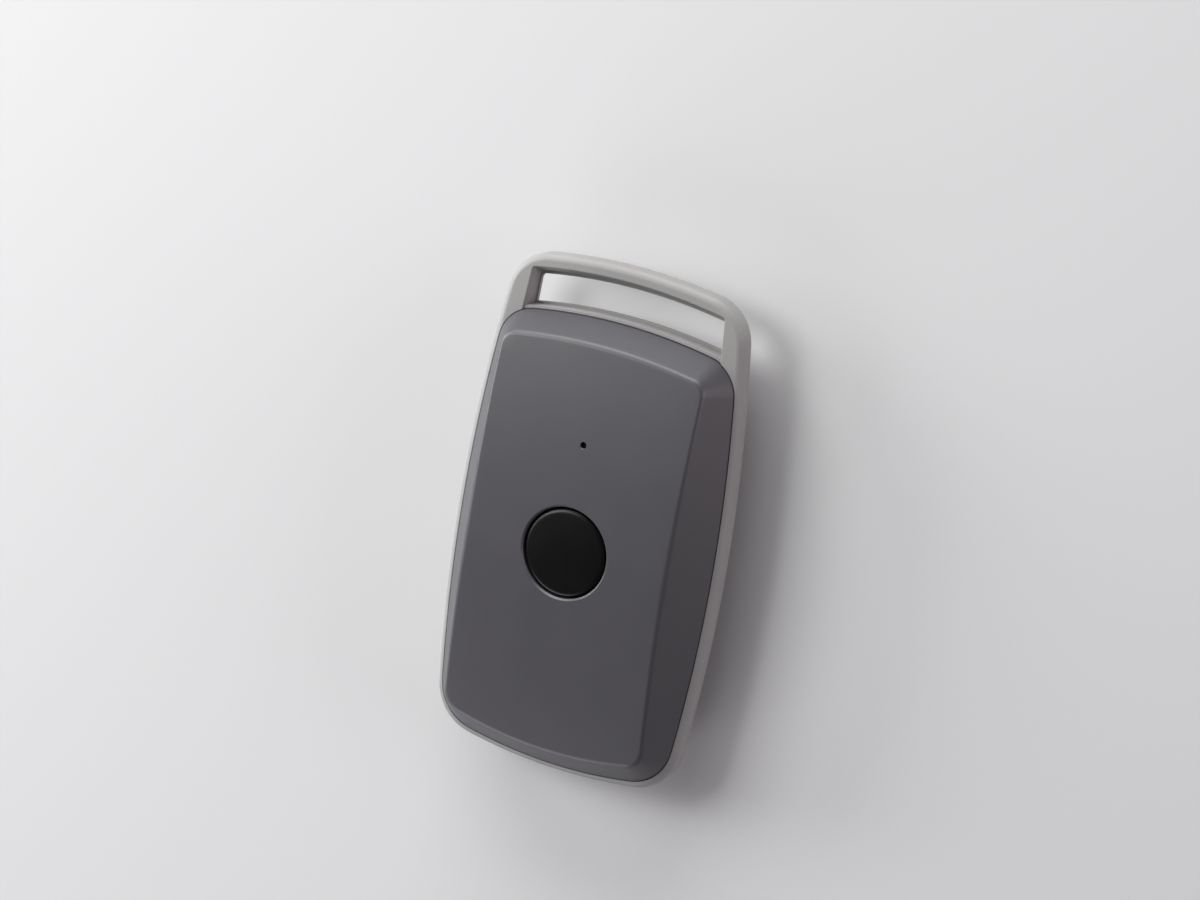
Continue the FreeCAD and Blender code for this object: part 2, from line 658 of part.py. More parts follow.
def make_rim_frame():
    body = new_body("rim_frame")
    outer = new_sketch(body, "RimOutline", out=s.frame_back_z)
    frame_outline.draw(outer)
    pad(body, outer, "RimPad", s.frame_thickness)
    round_edges(body, "RimFrontRound", s.frame_front_round,
                lambda box: level(box, frame_front_z))
    round_edges(body, "RimBackRound", s.frame_back_round,
                lambda box: level(box, s.frame_back_z))
    opening = new_sketch(body, "CaseOpening", out=frame_front_z)
    opening_outline.draw(opening)
    pocket(body, opening, "CaseOpeningCut", s.frame_thickness)
    rebate_outline = cover_outline.inset(-s.cover_gap)
    front = new_sketch(body, "FrontRebate", out=frame_front_z)
    rebate_outline.draw(front)
    pocket(body, front, "FrontRebateCut", s.rebate_depth)
    rear = new_sketch(body, "RearRebate", out=s.frame_back_z)
    rebate_outline.draw(rear)
    pocket(body, rear, "RearRebateCut", s.rebate_depth, upwards=True)
    funnel_top_y = slot_top_y + s.slot_lip
    funnel_half_width = slot_half_width + s.slot_lip
    funnel_bottom_y = slot_bottom_y - s.crossbar_lip
    mouth = new_sketch(body, "SlotMouth", out=frame_front_z)
    slot_region(mouth, funnel_top_y + s.slot_slope, funnel_bottom_y, funnel_half_width,
                s.slot_front_flare, s.slot_front_corner)
    neck = new_sketch(body, "SlotNeck", out=s.frame_back_z + s.slot_lip_thickness)
    slot_region(neck, funnel_top_y, funnel_bottom_y, funnel_half_width, s.slot_flare,
                s.slot_corner)
    loft(body, neck, mouth, "SlotFunnelCut", kind="Subtractive")
    lip = new_sketch(body, "SlotLip", out=frame_front_z)
    slot_region(lip, slot_top_y, slot_bottom_y, slot_half_width, s.slot_flare, s.slot_corner)
    pocket(body, lip, "SlotLipCut", s.frame_thickness)
    step = new_sketch(body, "CrossbarStep", out=frame_front_z)
    slot_region(step, slot_bottom_y + 1.0, cover_top_y - 0.5, funnel_half_width,
                s.slot_front_flare, s.slot_front_corner)
    pocket(body, step, "CrossbarStepCut", s.crossbar_step)
    return body


# Front cover
def crown_sketch(body, name, depth):
    """Half-moon region above the crowned face, lowered by depth, drawn in the lengthwise
    plane with the crosswise crown's axis as its horizontal axis."""
    sketch = new_sketch(body, name, up=s.crown_top_z - s.crown_across_radius, plane="YZ_Plane")
    radius = s.crown_along_radius - depth
    apex = s.crown_across_radius - depth
    reach = s.frame_half_length + 5.0
    ceiling = s.crown_across_radius + 3.0
    half = float(reach)
    centre = (float(s.crown_y), float(apex - radius))
    right_angle = math.acos((half - centre[0]) / float(radius))
    left_angle = math.acos((-half - centre[0]) / float(radius))
    right_y = centre[1] + float(radius) * math.sin(right_angle)
    left_y = centre[1] + float(radius) * math.sin(left_angle)
    top = float(ceiling)
    sketch.addGeometry(arc(centre, float(radius), right_angle, left_angle))
    sketch.addGeometry(Part.LineSegment(Vector(-half, left_y, 0), Vector(-half, top, 0)))
    sketch.addGeometry(Part.LineSegment(Vector(-half, top, 0), Vector(half, top, 0)))
    sketch.addGeometry(Part.LineSegment(Vector(half, top, 0), Vector(half, right_y, 0)))
    joints = ((0, 2, 1, 1), (1, 2, 2, 1), (2, 2, 3, 1), (3, 2, 0, 1))
    rules = Rules(sketch)
    for joint in joints:
        rules.keep("Coincident", *joint)
    rules.measure("crown_radius", radius, "Radius", 0)
    rules.place("_centre", s.crown_y, apex - radius, 0, 3)
    rules.measure("left_low", -reach, "DistanceX", -1, 1, 1, 1)
    rules.place("_left_top", -reach, ceiling, 2, 1)
    rules.place("_right_top", reach, ceiling, 3, 1)
    rules.measure("right_low", reach, "DistanceX", -1, 1, 3, 2)
    rules.apply()
    return sketch


CROWN_SWEEP = 7.0


def cover_form(body, lower_z, edge, face, crown_depth):
    """Upright edge, ruled bevels and crowned top, for the cover's outside and its hollow."""
    edge_low = new_sketch(body, body.Label + "_edge", out=lower_z)
    edge.draw(edge_low)
    pad(body, edge_low, body.Label + "_edge_pad", s.front_edge_z - lower_z)
    bevel_low = new_sketch(body, body.Label + "_bevel_low", out=s.front_edge_z)
    edge.draw(bevel_low)
    bevel_high = new_sketch(body, body.Label + "_bevel_high", out=s.crown_top_z)
    face.draw(bevel_high)
    loft(body, bevel_low, bevel_high, body.Label + "_bevels")
    crown = crown_sketch(body, body.Label + "_crown", crown_depth)
    turn(body, crown, body.Label + "_crown_cut", "H_Axis", CROWN_SWEEP, "Groove")


def cut_with(body, tool, name):
    before = solid_volume(body)
    feature = body.newObject("PartDesign::Boolean", name)
    feature.Type = "Cut"
    feature.setObjects([tool])
    return finished(body, feature, before, -1)


def make_front_cover():
    hollow = new_body("front_hollow")
    cover_form(hollow, front_cover_z, cover_outline.inset(s.cover_wall),
               face_outline.inset(s.cover_wall, s.hollow_corner), s.cover_wall)
    body = new_body("front_cover")
    cover_form(body, front_cover_z, cover_outline, face_outline, 0)
    cut_with(body, hollow, "CoverHollow")
    collar = new_sketch(body, "ButtonCollar", up=s.button_y, out=s.collar_bottom_z)
    add_circle(collar, s.button_hole_radius + s.collar_wall)
    pad(body, collar, "ButtonCollarPad", roof_core_z - s.collar_bottom_z)
    socket = new_sketch(body, "GuideSocket", up=indicator_y, out=socket_bottom_z)
    add_circle(socket, s.guide_radius + s.small_clearance + s.guide_socket_wall)
    pad(body, socket, "GuideSocketPad", roof_core_z - socket_bottom_z)
    for index, (x, y) in enumerate(SCREW_PLACES):
        boss = new_sketch(body, "Boss%d" % index, x, y, board_top_z)
        add_circle(boss, s.boss_radius)
        pad(body, boss, "BossPad%d" % index, s.boss_top_z - board_top_z)
    for index, (x, y) in enumerate(SCREW_PLACES):
        pilot = new_sketch(body, "Pilot%d" % index, x, y, board_top_z)
        add_circle(pilot, s.pilot_radius)
        pocket(body, pilot, "PilotCut%d" % index, s.pilot_depth, upwards=True)
    hole = new_sketch(body, "ButtonHole", up=s.button_y, out=s.collar_bottom_z)
    add_circle(hole, s.button_hole_radius)
    pocket(body, hole, "ButtonHoleCut", s.crown_top_z - s.collar_bottom_z, upwards=True)
    hole_edge = float(s.button_hole_radius)

    def button_rim(box):
        round_hole = abs(box.XMax - hole_edge) < 0.05 and abs(box.XMin + hole_edge) < 0.05
        return round_hole and box.ZMin > float(roof_core_z)

    bevel_edges(body, "ButtonHoleChamfer", s.button_hole_chamfer, button_rim)
    bore = new_sketch(body, "GuideBore", up=indicator_y, out=socket_bottom_z)
    add_circle(bore, s.guide_radius + s.small_clearance)
    pocket(body, bore, "GuideBoreCut", s.guide_top_z + s.small_clearance - socket_bottom_z,
           upwards=True)
    window = new_sketch(body, "IndicatorHole", up=indicator_y, out=s.guide_top_z)
    add_circle(window, s.indicator_hole_radius)
    pocket(body, window, "IndicatorHoleCut", s.crown_top_z - s.guide_top_z, upwards=True)
    return body


# Rear cover
def make_rear_cover():
    body = new_body("rear_cover")
    band_z = rear_cover_z - s.rear_edge_height
    flat = new_sketch(body, "FlatBack")
    back_outline.inset(s.back_edge_width).draw(flat)
    edge = new_sketch(body, "BackEdge", out=s.back_edge_height)
    back_outline.draw(edge)
    loft(body, flat, edge, "BackEdgeBevel")
    low = new_sketch(body, "RearBevelBottom", out=s.back_edge_height)
    back_outline.draw(low)
    high = new_sketch(body, "RearBevelTop", out=band_z)
    cover_outline.draw(high)
    loft(body, low, high, "RearBevels")
    band = new_sketch(body, "RearBand", out=band_z)
    cover_outline.draw(band)
    pad(body, band, "RearBandPad", s.rear_edge_height)
    floor = new_sketch(body, "HollowFloor", out=s.cover_wall)
    back_outline.inset(s.rear_hollow_inset).draw(floor)
    mouth = new_sketch(body, "HollowMouth", out=rear_cover_z)
    opening_outline.draw(mouth)
    loft(body, floor, mouth, "RearHollow", "Subtractive")
    for index, (x, y) in enumerate(SCREW_PLACES):
        post = new_sketch(body, "Post%d" % index, x, y, s.cover_wall / 2)
        add_circle(post, s.post_radius)
        pad(body, post, "PostPad%d" % index, board_z - s.cover_wall / 2)
    for index, (x, y) in enumerate(SCREW_PLACES):
        recess = new_sketch(body, "ScrewRecess%d" % index, x, y)
        add_circle(recess, s.screw_recess_radius)
        pocket(body, recess, "ScrewRecessCut%d" % index, s.screw_recess_depth, upwards=True)
        hole = new_sketch(body, "ScrewHole%d" % index, x, y, s.screw_recess_depth)
        add_circle(hole, s.screw_hole_radius)
        pocket(body, hole, "ScrewHoleCut%d" % index, board_z - s.screw_recess_depth,
               upwards=True)
    return body


def make_gasket(label, height):
    body = new_body(label)
    ring = new_sketch(body, label + "_ring", out=height)
    outer = cover_outline.inset(s.gasket_inset)
    outer.draw(ring)
    outer.inset(s.gasket_width).draw(ring)
    pad(body, ring, label + "_pad", s.gasket_thickness)
    return body


# Turned pieces: half sections in the lengthwise plane, turned about an upright axis
def make_turned(label, centre_y, points, dome=None):
    """Points are radius and height, from the axis round to the axis again. A dome replaces
    the last straight edge, from the last point up to the middle, by an arc."""
    body = new_body(label)
    profile = new_sketch(body, label + "_profile", across=centre_y, plane="YZ_Plane")
    if dome is None:
        add_polygon(profile, points)
    else:
        edge_radius, edge_z = points[-1]
        radius = (edge_radius * edge_radius + dome * dome) / (2 * dome)
        middle_z = edge_z + dome
        add_polygon(profile, points, closed=False)
        last = len(points) - 2
        centre = (0.0, float(middle_z - radius))
        start = angle_of(centre, (float(edge_radius), float(edge_z)))
        index = profile.addGeometry(arc(centre, float(radius), start, math.pi / 2))
        bottom = Vector(0, float(points[0][1]), 0)
        top = Vector(0, float(middle_z), 0)
        axis_edge = profile.addGeometry(Part.LineSegment(top, bottom))
        rules = Rules(profile)
        rules.keep("Coincident", last, 2, index, 1)
        rules.keep("PointOnObject", index, 3, -2)
        rules.keep("PointOnObject", index, 2, -2)
        rules.measure("dome_radius", radius, "Radius", index)
        rules.keep("Coincident", index, 2, axis_edge, 1)
        rules.keep("Coincident", axis_edge, 2, 0, 1)
        rules.apply()
    turn(body, profile, label + "_turn")
    return body


button_radius = s.button_hole_radius - s.button_gap
button_edge_z = s.crown_top_z - s.button_sink - s.button_dome
flange_top_z = s.collar_bottom_z - s.seal_thickness
flange_radius = s.button_hole_radius + s.button_flange


def make_alarm_button():
    flange_bottom_z = flange_top_z - s.button_flange_thickness
    roof_z = button_edge_z + s.button_dome - s.button_roof
    inside = button_radius - s.button_skirt
    return make_turned("alarm_button", s.button_y, (
        (0, plunger_top_z),
        (s.plunger_radius, plunger_top_z),
        (s.plunger_radius, roof_z),
        (inside, roof_z),
        (inside, flange_bottom_z),
        (flange_radius, flange_bottom_z),
        (flange_radius, flange_top_z),
        (button_radius, flange_top_z),
        (button_radius, button_edge_z - s.button_bevel_height),
        (button_radius - s.button_bevel_width, button_edge_z),
    ), s.button_dome)


def make_button_seal():
    inner = button_radius + s.small_clearance
    return make_turned("button_seal", s.button_y, (
        (inner, flange_top_z),
        (flange_radius, flange_top_z),
        (flange_radius, s.collar_bottom_z),
        (inner, s.collar_bottom_z),
    ))


def make_light_guide():
    rise = indicator_y - s.crown_y
    face_z = s.crown_top_z - rise * rise / (2 * s.crown_along_radius)
    tip_radius = s.indicator_hole_radius - s.small_clearance
    return make_turned("light_guide", indicator_y, (
        (0, socket_bottom_z),
        (s.guide_radius, socket_bottom_z),
        (s.guide_radius, s.guide_top_z),
        (tip_radius, s.guide_top_z),
        (tip_radius, face_z - s.indicator_sink),
        (0, face_z - s.indicator_sink),
    ))


def make_switch_plunger():
    foot_top_z = switch_top_z - s.small_clearance
    foot_z = foot_top_z - s.plunger_foot_thickness
    return make_turned("switch_plunger", s.button_y, (
        (0, foot_z),
        (s.plunger_foot_radius, foot_z),
        (s.plunger_foot_radius, foot_top_z),
        (s.plunger_radius, foot_top_z),
        (s.plunger_radius, plunger_top_z),
        (0, plunger_top_z),
    ))


def make_coin_cell():
    top_z = cell_z + s.cell_thickness
    rim = s.cell_crimp
    return make_turned("coin_cell", s.cell_y, (
        (0, cell_z),
        (s.cell_radius, cell_z),
        (s.cell_radius, top_z - rim),
        (s.cell_radius - rim, top_z - rim / 2),
        (s.cell_radius - 2 * rim, top_z - rim / 2),
        (s.cell_radius - 2 * rim, top_z),
        (0, top_z),
    ))


def make_battery_contact():
    top_z = cell_z + s.cell_thickness
    leaf_z = board_z - s.contact_leaf
    return make_turned("battery_contact", s.cell_y, (
        (0, top_z),
        (s.contact_tip_radius, top_z),
        (s.contact_radius - 1.0, leaf_z),
        (s.contact_radius, leaf_z),
        (s.contact_radius, board_z),
        (0, board_z),
    ))


def make_drum_coil():
    top_z = board_top_z + s.coil_height
    waist = s.coil_radius - 0.7
    coil = make_turned("drum_coil", board_bottom_y + s.coil_end_margin, (
        (0, board_top_z),
        (s.coil_radius, board_top_z),
        (s.coil_radius, board_top_z + 0.4),
        (waist, board_top_z + 0.4),
        (waist, top_z - 0.4),
        (s.coil_radius, top_z - 0.4),
        (s.coil_radius, top_z),
        (0, top_z),
    ))
    bind(coil, "Placement.Base.x", board_half_width - s.coil_margin)
    return coil


# Switch, board and battery holder
def make_switch_housing():
    body = new_body("switch_housing")
    half = s.switch_size / 2
    square = new_sketch(body, "SwitchSquare", up=s.button_y, out=board_top_z)
    add_rectangle(square, -half, half, -half, half)
    pad(body, square, "SwitchPad", s.switch_height)
    well = new_sketch(body, "SwitchWell", up=s.button_y, out=switch_top_z)
    add_circle(well, s.plunger_foot_radius + s.plunger_clearance)
    pocket(body, well, "SwitchWellCut", s.switch_height / 2)
    return body


def make_switch_plate():
    body = new_body("switch_plate")
    half = s.switch_size / 2
    square = new_sketch(body, "PlateSquare", up=s.button_y, out=switch_top_z)
    add_rectangle(square, -half, half, -half, half)
    add_circle(square, s.plunger_radius + s.plunger_clearance)
    pad(body, square, "PlatePad", s.switch_plate_thickness)
    return body


def make_circuit_board():
    body = new_body("circuit_board")
    plan = new_sketch(body, "BoardPlan", out=board_z)
    add_rectangle(plan, -board_half_width, board_half_width, board_bottom_y,
                  board_top_y)
    pad(body, plan, "BoardPad", s.board_thickness)
    round_edges(body, "BoardCorners", s.board_corner,
                lambda box: box.XLength < 0.01 and box.YLength < 0.01)
    for index, (x, y) in enumerate(SCREW_PLACES):
        hole = new_sketch(body, "BoardHole%d" % index, x, y, board_z)
        add_circle(hole, s.screw_hole_radius)
        pocket(body, hole, "BoardHoleCut%d" % index, s.board_thickness, upwards=True)
    return body


holder_inside = s.cell_radius + s.holder_clearance
holder_outside = holder_inside + s.holder_wall


def make_battery_holder():
    body = new_body("battery_holder")
    outer = new_sketch(body, "HolderRound", up=s.cell_y, out=cell_z)
    add_circle(outer, holder_outside)
    pad(body, outer, "HolderPad", board_z - cell_z)
    well = new_sketch(body, "HolderWell", up=s.cell_y, out=cell_z)
    add_circle(well, holder_inside)
    pocket(body, well, "HolderWellCut", holder_roof_z - cell_z, upwards=True)
    eye = new_sketch(body, "HolderEye", up=s.cell_y, out=holder_roof_z)
    add_circle(eye, s.contact_radius + 0.8)
    pocket(body, eye, "HolderEyeCut", s.holder_roof, upwards=True)
    notch = new_sketch(body, "FingerNotch", across=holder_inside, up=s.cell_y, out=cell_z)
    add_rectangle(notch, -3, s.holder_wall + 1, -s.notch_width / 2, s.notch_width / 2)
    pocket(body, notch, "FingerNotchCut", holder_roof_z - cell_z, upwards=True)
    return body


def make_strip(label, centre_y, out, points, width):
    """A bent strip or plate: an outline in the lengthwise plane, as wide as given."""
    body = new_body(label)
    section = new_sketch(body, label + "_section", across=centre_y, out=out - width / 2,
                         plane="YZ_Plane")
    add_polygon(section, points)
    pad(body, section, label + "_pad", width)
    return body


def make_battery_clip():
    reach = holder_outside + 2 * s.small_clearance
    outer = reach + s.clip_thickness
    return make_strip("battery_clip", s.cell_y, as_size(0), (
        (-outer, strip_z),
        (outer, strip_z),
        (outer, board_z),
        (reach, board_z),
        (reach, cell_z),
        (-reach, cell_z),
        (-reach, board_z),
        (-outer, board_z),
    ), s.clip_width)


def make_antenna():
    half = s.antenna_length / 2
    top_z = board_top_z + s.antenna_height
    under_z = top_z - s.antenna_strip
    foot = s.antenna_strip
    return make_strip("antenna", s.antenna_y, board_half_width - s.antenna_margin, (
        (-half, board_top_z),
        (foot - half, board_top_z),
        (foot - half, under_z),
        (half - foot, under_z),
        (half - foot, board_top_z),
        (half, board_top_z),
        (half, top_z),
        (-half, top_z),
    ), s.clip_thickness)


def make_radio_shield():
    body = new_body("radio_shield")
    half_x = s.shield_length / 2
    half_y = s.shield_width / 2
    plan = new_sketch(body, "ShieldPlan", up=shield_y, out=board_top_z)
    add_rectangle(plan, -half_x, half_x, -half_y, half_y)
    pad(body, plan, "ShieldPad", s.shield_height)
    inner_x = half_x - s.shield_wall
    inner_y = half_y - s.shield_wall
    inside = new_sketch(body, "ShieldInside", up=shield_y, out=board_top_z)
    add_rectangle(inside, -inner_x, inner_x, -inner_y, inner_y)
    pocket(body, inside, "ShieldInsideCut", s.shield_height - s.shield_wall, upwards=True)
    round_edges(body, "ShieldCorners", s.shield_corner,
                lambda box: box.ZLength > float(s.shield_height) - 0.01
                and box.XLength < 0.01 and box.YLength < 0.01)
    return body


# Chips and other plain blocks
def make_block(name, centre_x, centre_y, low_z, length, width, height):
    block = doc.addObject("Part::Box", name)
    block.Label = name
    bind(block, "Length", length)
    bind(block, "Width", width)
    bind(block, "Height", height)
    bind(block, "Placement.Base.x", centre_x - as_size(length) / 2)
    bind(block, "Placement.Base.y", centre_y - as_size(width) / 2)
    bind(block, "Placement.Base.z", low_z)
    return block


def make_group(label, pieces):
    group = doc.addObject("Part::Compound", label)
    group.Label = label
    group.Links = pieces
    return group


def make_chip_row(label, row_y, height):
    """Small surface-mounted pieces in a row across the board's lower end."""
    chips = []
    for index in range(-2, 3):
        chips.append(make_block("%s_%d" % (label, index + 3), s.row_spacing * index, row_y,
                                board_top_z, s.small_length, s.small_width, height))
    return make_group(label, chips)


def make_case_screws():
    """One screw for each place: a pan head in its recess, a shank through the post and the
    board, and a point in the boss."""
    screws = []
    head_z = s.screw_recess_depth - s.screw_head_height
    shank_end_z = board_top_z + s.screw_engagement
    tip = s.screw_radius
    for index, (x, y) in enumerate(SCREW_PLACES):
        head = doc.addObject("Part::Cylinder", "ScrewHead%d" % index)
        bind(head, "Radius", s.screw_head_radius)
        bind(head, "Height", s.screw_head_height)
        bind(head, "Placement.Base.z", head_z)
        shank = doc.addObject("Part::Cylinder", "ScrewShank%d" % index)
        bind(shank, "Radius", s.screw_radius)
        bind(shank, "Height", shank_end_z - tip - s.screw_recess_depth)
        bind(shank, "Placement.Base.z", s.screw_recess_depth)
        point = doc.addObject("Part::Cone", "ScrewPoint%d" % index)
        bind(point, "Radius1", s.screw_radius)
        bind(point, "Radius2", s.screw_radius / 3)
        bind(point, "Height", tip)
        bind(point, "Placement.Base.z", shank_end_z - tip)
        whole = doc.addObject("Part::MultiFuse", "ScrewWhole%d" % index)
        whole.Shapes = [head, shank, point]
        slots = []
        for way, (length, width) in enumerate(((s.drive_length, s.drive_width),
                                               (s.drive_width, s.drive_length))):
            slots.append(make_block("Drive%d_%d" % (index, way), 0, 0, head_z,
                                    length, width, s.drive_depth))
        cross = doc.addObject("Part::MultiFuse", "DriveCross%d" % index)
        cross.Shapes = slots
        screw = doc.addObject("Part::Cut", "Screw%d" % index)
        screw.Base = whole
        screw.Tool = cross
        bind(screw, "Placement.Base.x", x)
        bind(screw, "Placement.Base.y", y)
        screws.append(screw)
    return make_group("case_screws", screws)


def make_pad_and_chips():
    row_y = board_bottom_y + s.row_margin
    return [
        make_block("battery_pad", 0, s.cell_y, s.cover_wall, s.pad_width, s.pad_length,
                   s.pad_thickness),
        make_block("status_led", 0, indicator_y, board_top_z, s.led_length, s.led_width,
                   socket_bottom_z - s.led_gap - board_top_z),
        make_block("radio_chip", 0, shield_y, board_top_z, s.radio_chip_size,
                   s.radio_chip_size, s.chip_height),
        make_block("microcontroller", chip_x, s.chip_y, board_top_z, s.chip_size,
                   s.chip_size, s.chip_height),
        make_block("crystal", chip_x, s.chip_y + s.chip_size, board_top_z, s.crystal_length,
                   s.crystal_width, s.crystal_height),
        make_chip_row("chip_capacitors", row_y, s.capacitor_height),
        make_chip_row("chip_resistors", row_y + s.row_gap, s.resistor_height),
    ]


def check_and_export(nodes):
    doc.recompute()
    for thing in doc.Objects:
        if "Invalid" in thing.State or "Error" in thing.State:
            raise RuntimeError("failed object: " + thing.Name)
    os.makedirs("parts", exist_ok=True)
    for node in nodes:
        shape = node.Shape
        if shape.isNull() or not shape.isValid() or not shape.Solids:
            raise RuntimeError("bad shape: " + node.Label)
    for node in nodes:
        node.Shape.exportStep("parts/%s.step" % node.Label)
        print("%-18s %8.1f mm3 %3d faces %2d solid(s)" % (
            node.Label, node.Shape.Volume, len(node.Shape.Faces), len(node.Shape.Solids)))


NODES = [
    make_rim_frame(),
    make_front_cover(),
    make_rear_cover(),
    make_gasket("front_gasket", front_web_z),
    make_gasket("rear_gasket", rear_cover_z),
    make_alarm_button(),
    make_button_seal(),
    make_light_guide(),
    make_switch_plunger(),
    make_switch_housing(),
    make_switch_plate(),
    make_circuit_board(),
    make_coin_cell(),
    make_battery_contact(),
    make_battery_holder(),
    make_battery_clip(),
    make_antenna(),
    make_radio_shield(),
    make_drum_coil(),
    make_case_screws(),
] + make_pad_and_chips()

check_and_export(NODES)
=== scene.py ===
"""Looks for a hand-held panic button, built round its construction model.

The case lies on its flat back. X runs across it, Y along it towards the lanyard slot and Z out
of the front, in metres. Sizes are kept in millimetres until a mesh is made.
"""

import math
from dataclasses import dataclass, replace

import bmesh
import bpy
from bpy.props import FloatProperty, FloatVectorProperty, PointerProperty
from mathutils import Matrix, Vector


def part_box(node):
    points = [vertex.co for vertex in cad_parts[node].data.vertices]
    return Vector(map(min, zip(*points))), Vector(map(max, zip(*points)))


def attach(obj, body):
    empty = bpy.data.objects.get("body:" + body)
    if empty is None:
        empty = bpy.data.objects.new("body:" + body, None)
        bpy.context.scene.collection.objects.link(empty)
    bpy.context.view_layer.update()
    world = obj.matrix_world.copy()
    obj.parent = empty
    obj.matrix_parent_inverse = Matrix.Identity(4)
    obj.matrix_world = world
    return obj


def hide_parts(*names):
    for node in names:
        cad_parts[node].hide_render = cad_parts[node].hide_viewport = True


bl_info = {
    "name": "Panic button",
    "version": (1, 0, 0),
    "blender": (4, 5, 0),
    "location": "3D View > Sidebar > Panic button",
    "description": "Dresses the panic button's case, button, screws and electronics",
    "category": "Object",
}

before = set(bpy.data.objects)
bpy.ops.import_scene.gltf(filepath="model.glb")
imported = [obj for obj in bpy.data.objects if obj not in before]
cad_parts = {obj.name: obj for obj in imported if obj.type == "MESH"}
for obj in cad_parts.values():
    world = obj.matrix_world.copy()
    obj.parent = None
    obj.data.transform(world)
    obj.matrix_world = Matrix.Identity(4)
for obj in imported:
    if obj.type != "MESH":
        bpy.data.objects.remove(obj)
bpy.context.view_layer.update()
MM = 0.001

# Points of a cut mesh that are nearer to each other than this, in millimetres, become one
SAME_PLACE = 0.0015

# How far a cutting shape reaches past what it cuts, in millimetres
OVER = 1.0


def millimetres(node):
    """Lowest and highest corner of a construction piece, in millimetres."""
    low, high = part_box(node)
    return low / MM, high / MM


RIM_LOW, RIM_HIGH = millimetres("rim_frame")
FRONT_LOW, FRONT_HIGH = millimetres("front_cover")
REAR_LOW, REAR_HIGH = millimetres("rear_cover")
BUTTON_LOW, BUTTON_HIGH = millimetres("alarm_button")
SCREWS_LOW, SCREWS_HIGH = millimetres("case_screws")
GUIDE_LOW, GUIDE_HIGH = millimetres("light_guide")
SEAL_TOP = millimetres("button_seal")[1].z
BOARD_TOP = millimetres("circuit_board")[1].z

BUTTON_Y = (BUTTON_LOW.y + BUTTON_HIGH.y) / 2
INDICATOR_Y = (GUIDE_LOW.y + GUIDE_HIGH.y) / 2
SCREW_HEAD_RADIUS = 2.05
SCREW_X = SCREWS_HIGH.x - SCREW_HEAD_RADIUS
SCREW_ROWS = (SCREWS_HIGH.y - SCREW_HEAD_RADIUS, SCREWS_LOW.y + SCREW_HEAD_RADIUS)
SCREW_PLACES = [(x, y) for y in SCREW_ROWS for x in (SCREW_X, -SCREW_X)]

# Where the bowed sides are widest and the front face is highest, along Y
SIDES_Y = -3.8
CROWN_Y = -1.4


# Sizes and colours that a user would change

def length(name, description, default):
    """A length that is given in millimetres and kept in metres."""
    return FloatProperty(name=name, description=description, default=default * MM, min=0,
                         unit="LENGTH", precision=5)


def colour(name, description, default):
    return FloatVectorProperty(name=name, description=description, default=default, size=3,
                               min=0, max=1, subtype="COLOR")


class RimSizes(bpy.types.PropertyGroup):
    side_radius: length("Side bow", "Radius of the long sides", 259.0)
    top_radius: length("Lanyard end bow", "Radius of the end with the lanyard slot", 95.5)
    bottom_radius: length("Lower end bow", "Radius of the lower end", 86.5)
    top_corner: length("Upper corners", "Corner radius at the lanyard end", 7.2)
    bottom_corner: length("Lower corners", "Corner radius at the lower end", 7.8)
    front_round: length("Front rounding", "Rounding of the front outer edge", 1.2)
    back_round: length("Back rounding", "Rounding of the back outer edge", 1.1)
    rebate: length("Rebate", "Depth of the step that a cover stands in", 0.9)
    gap: length("Gap", "Open joint between a cover and the rim", 0.12)
    bar: length("Lanyard bar", "Rim outside the lanyard slot", 3.53)
    slot_height: length("Slot height", "Clear opening of the slot, lengthwise", 4.37)
    slot_margin: length("Slot margin", "Rim beside the slot's outer corners", 6.65)
    slot_flare: length("Slot flare", "How much wider a side gets inwards", 0.15)
    front_flare: length("Front flare", "The same at the slot's front edge", 0.5)
    slot_slope: length("Slot slope", "Slope of the bar towards the slot", 1.08)
    slot_lip: length("Slot lip", "Thin lip round the back of the slot", 0.25)
    crossbar_lip: length("Crossbar lip", "The same lip along the crossbar", 0.35)
    slot_round: length("Slot edge", "Rounding of the slot's front edge", 0.22)
    crossbar_step: length("Crossbar step", "Crossbar set back from the front", 0.35)


class CoverSizes(bpy.types.PropertyGroup):
    inset: length("Inset", "Cover edge inside the rim's outline", 1.06)
    wall: length("Wall", "Wall of both covers", 1.8)
    bevel_side: length("Side bevels", "Plan width of the side bevels", 4.75)
    bevel_top: length("Upper bevel", "Plan width of the bevel at the lanyard end", 4.25)
    bevel_bottom: length("Lower bevel", "Plan width of the lower bevel", 5.26)
    edge_round: length("Bevel edges", "Rounding between the bevels and the face", 0.6)
    crown_top: length("Crown height", "Highest point of the front face", 16.04)
    crown_along: length("Crown lengthwise", "Radius of the face lengthwise", 215.0)
    crown_across: length("Crown crosswise", "Radius of the face crosswise", 489.0)
    rear_side: length("Rear side bevels", "Plan width of the rear side bevels", 3.9)
    rear_top: length("Rear upper bevel", "Plan width at the lanyard end", 3.2)
    rear_bottom: length("Rear lower bevel", "Plan width at the lower end", 3.6)


class ButtonSizes(bpy.types.PropertyGroup):
    hole_radius: length("Hole", "Radius of the hole in the front face", 7.1)
    hole_chamfer: length("Hole chamfer", "Chamfer of the hole's rim", 0.26)
    gap: length("Gap", "Gap round the button", 0.3)
    dome: length("Dome", "Height of the button's domed top", 0.3)
    edge_round: length("Edge", "Rounding of the button's edge, seen from the front", 0.7)
    edge_drop: length("Edge drop", "How far that rounding falls", 0.42)


class Finishes(bpy.types.PropertyGroup):
    cover: colour("Covers", "Dark grey case plastic", (0.0545, 0.0523, 0.0600))
    rim: colour("Rim", "Light grey case plastic", (0.285, 0.281, 0.274))
    button: colour("Button", "Black button plastic", (0.0014, 0.0008, 0.0010))
    floor: colour("Floor", "Pale floor", (0.64, 0.64, 0.64))


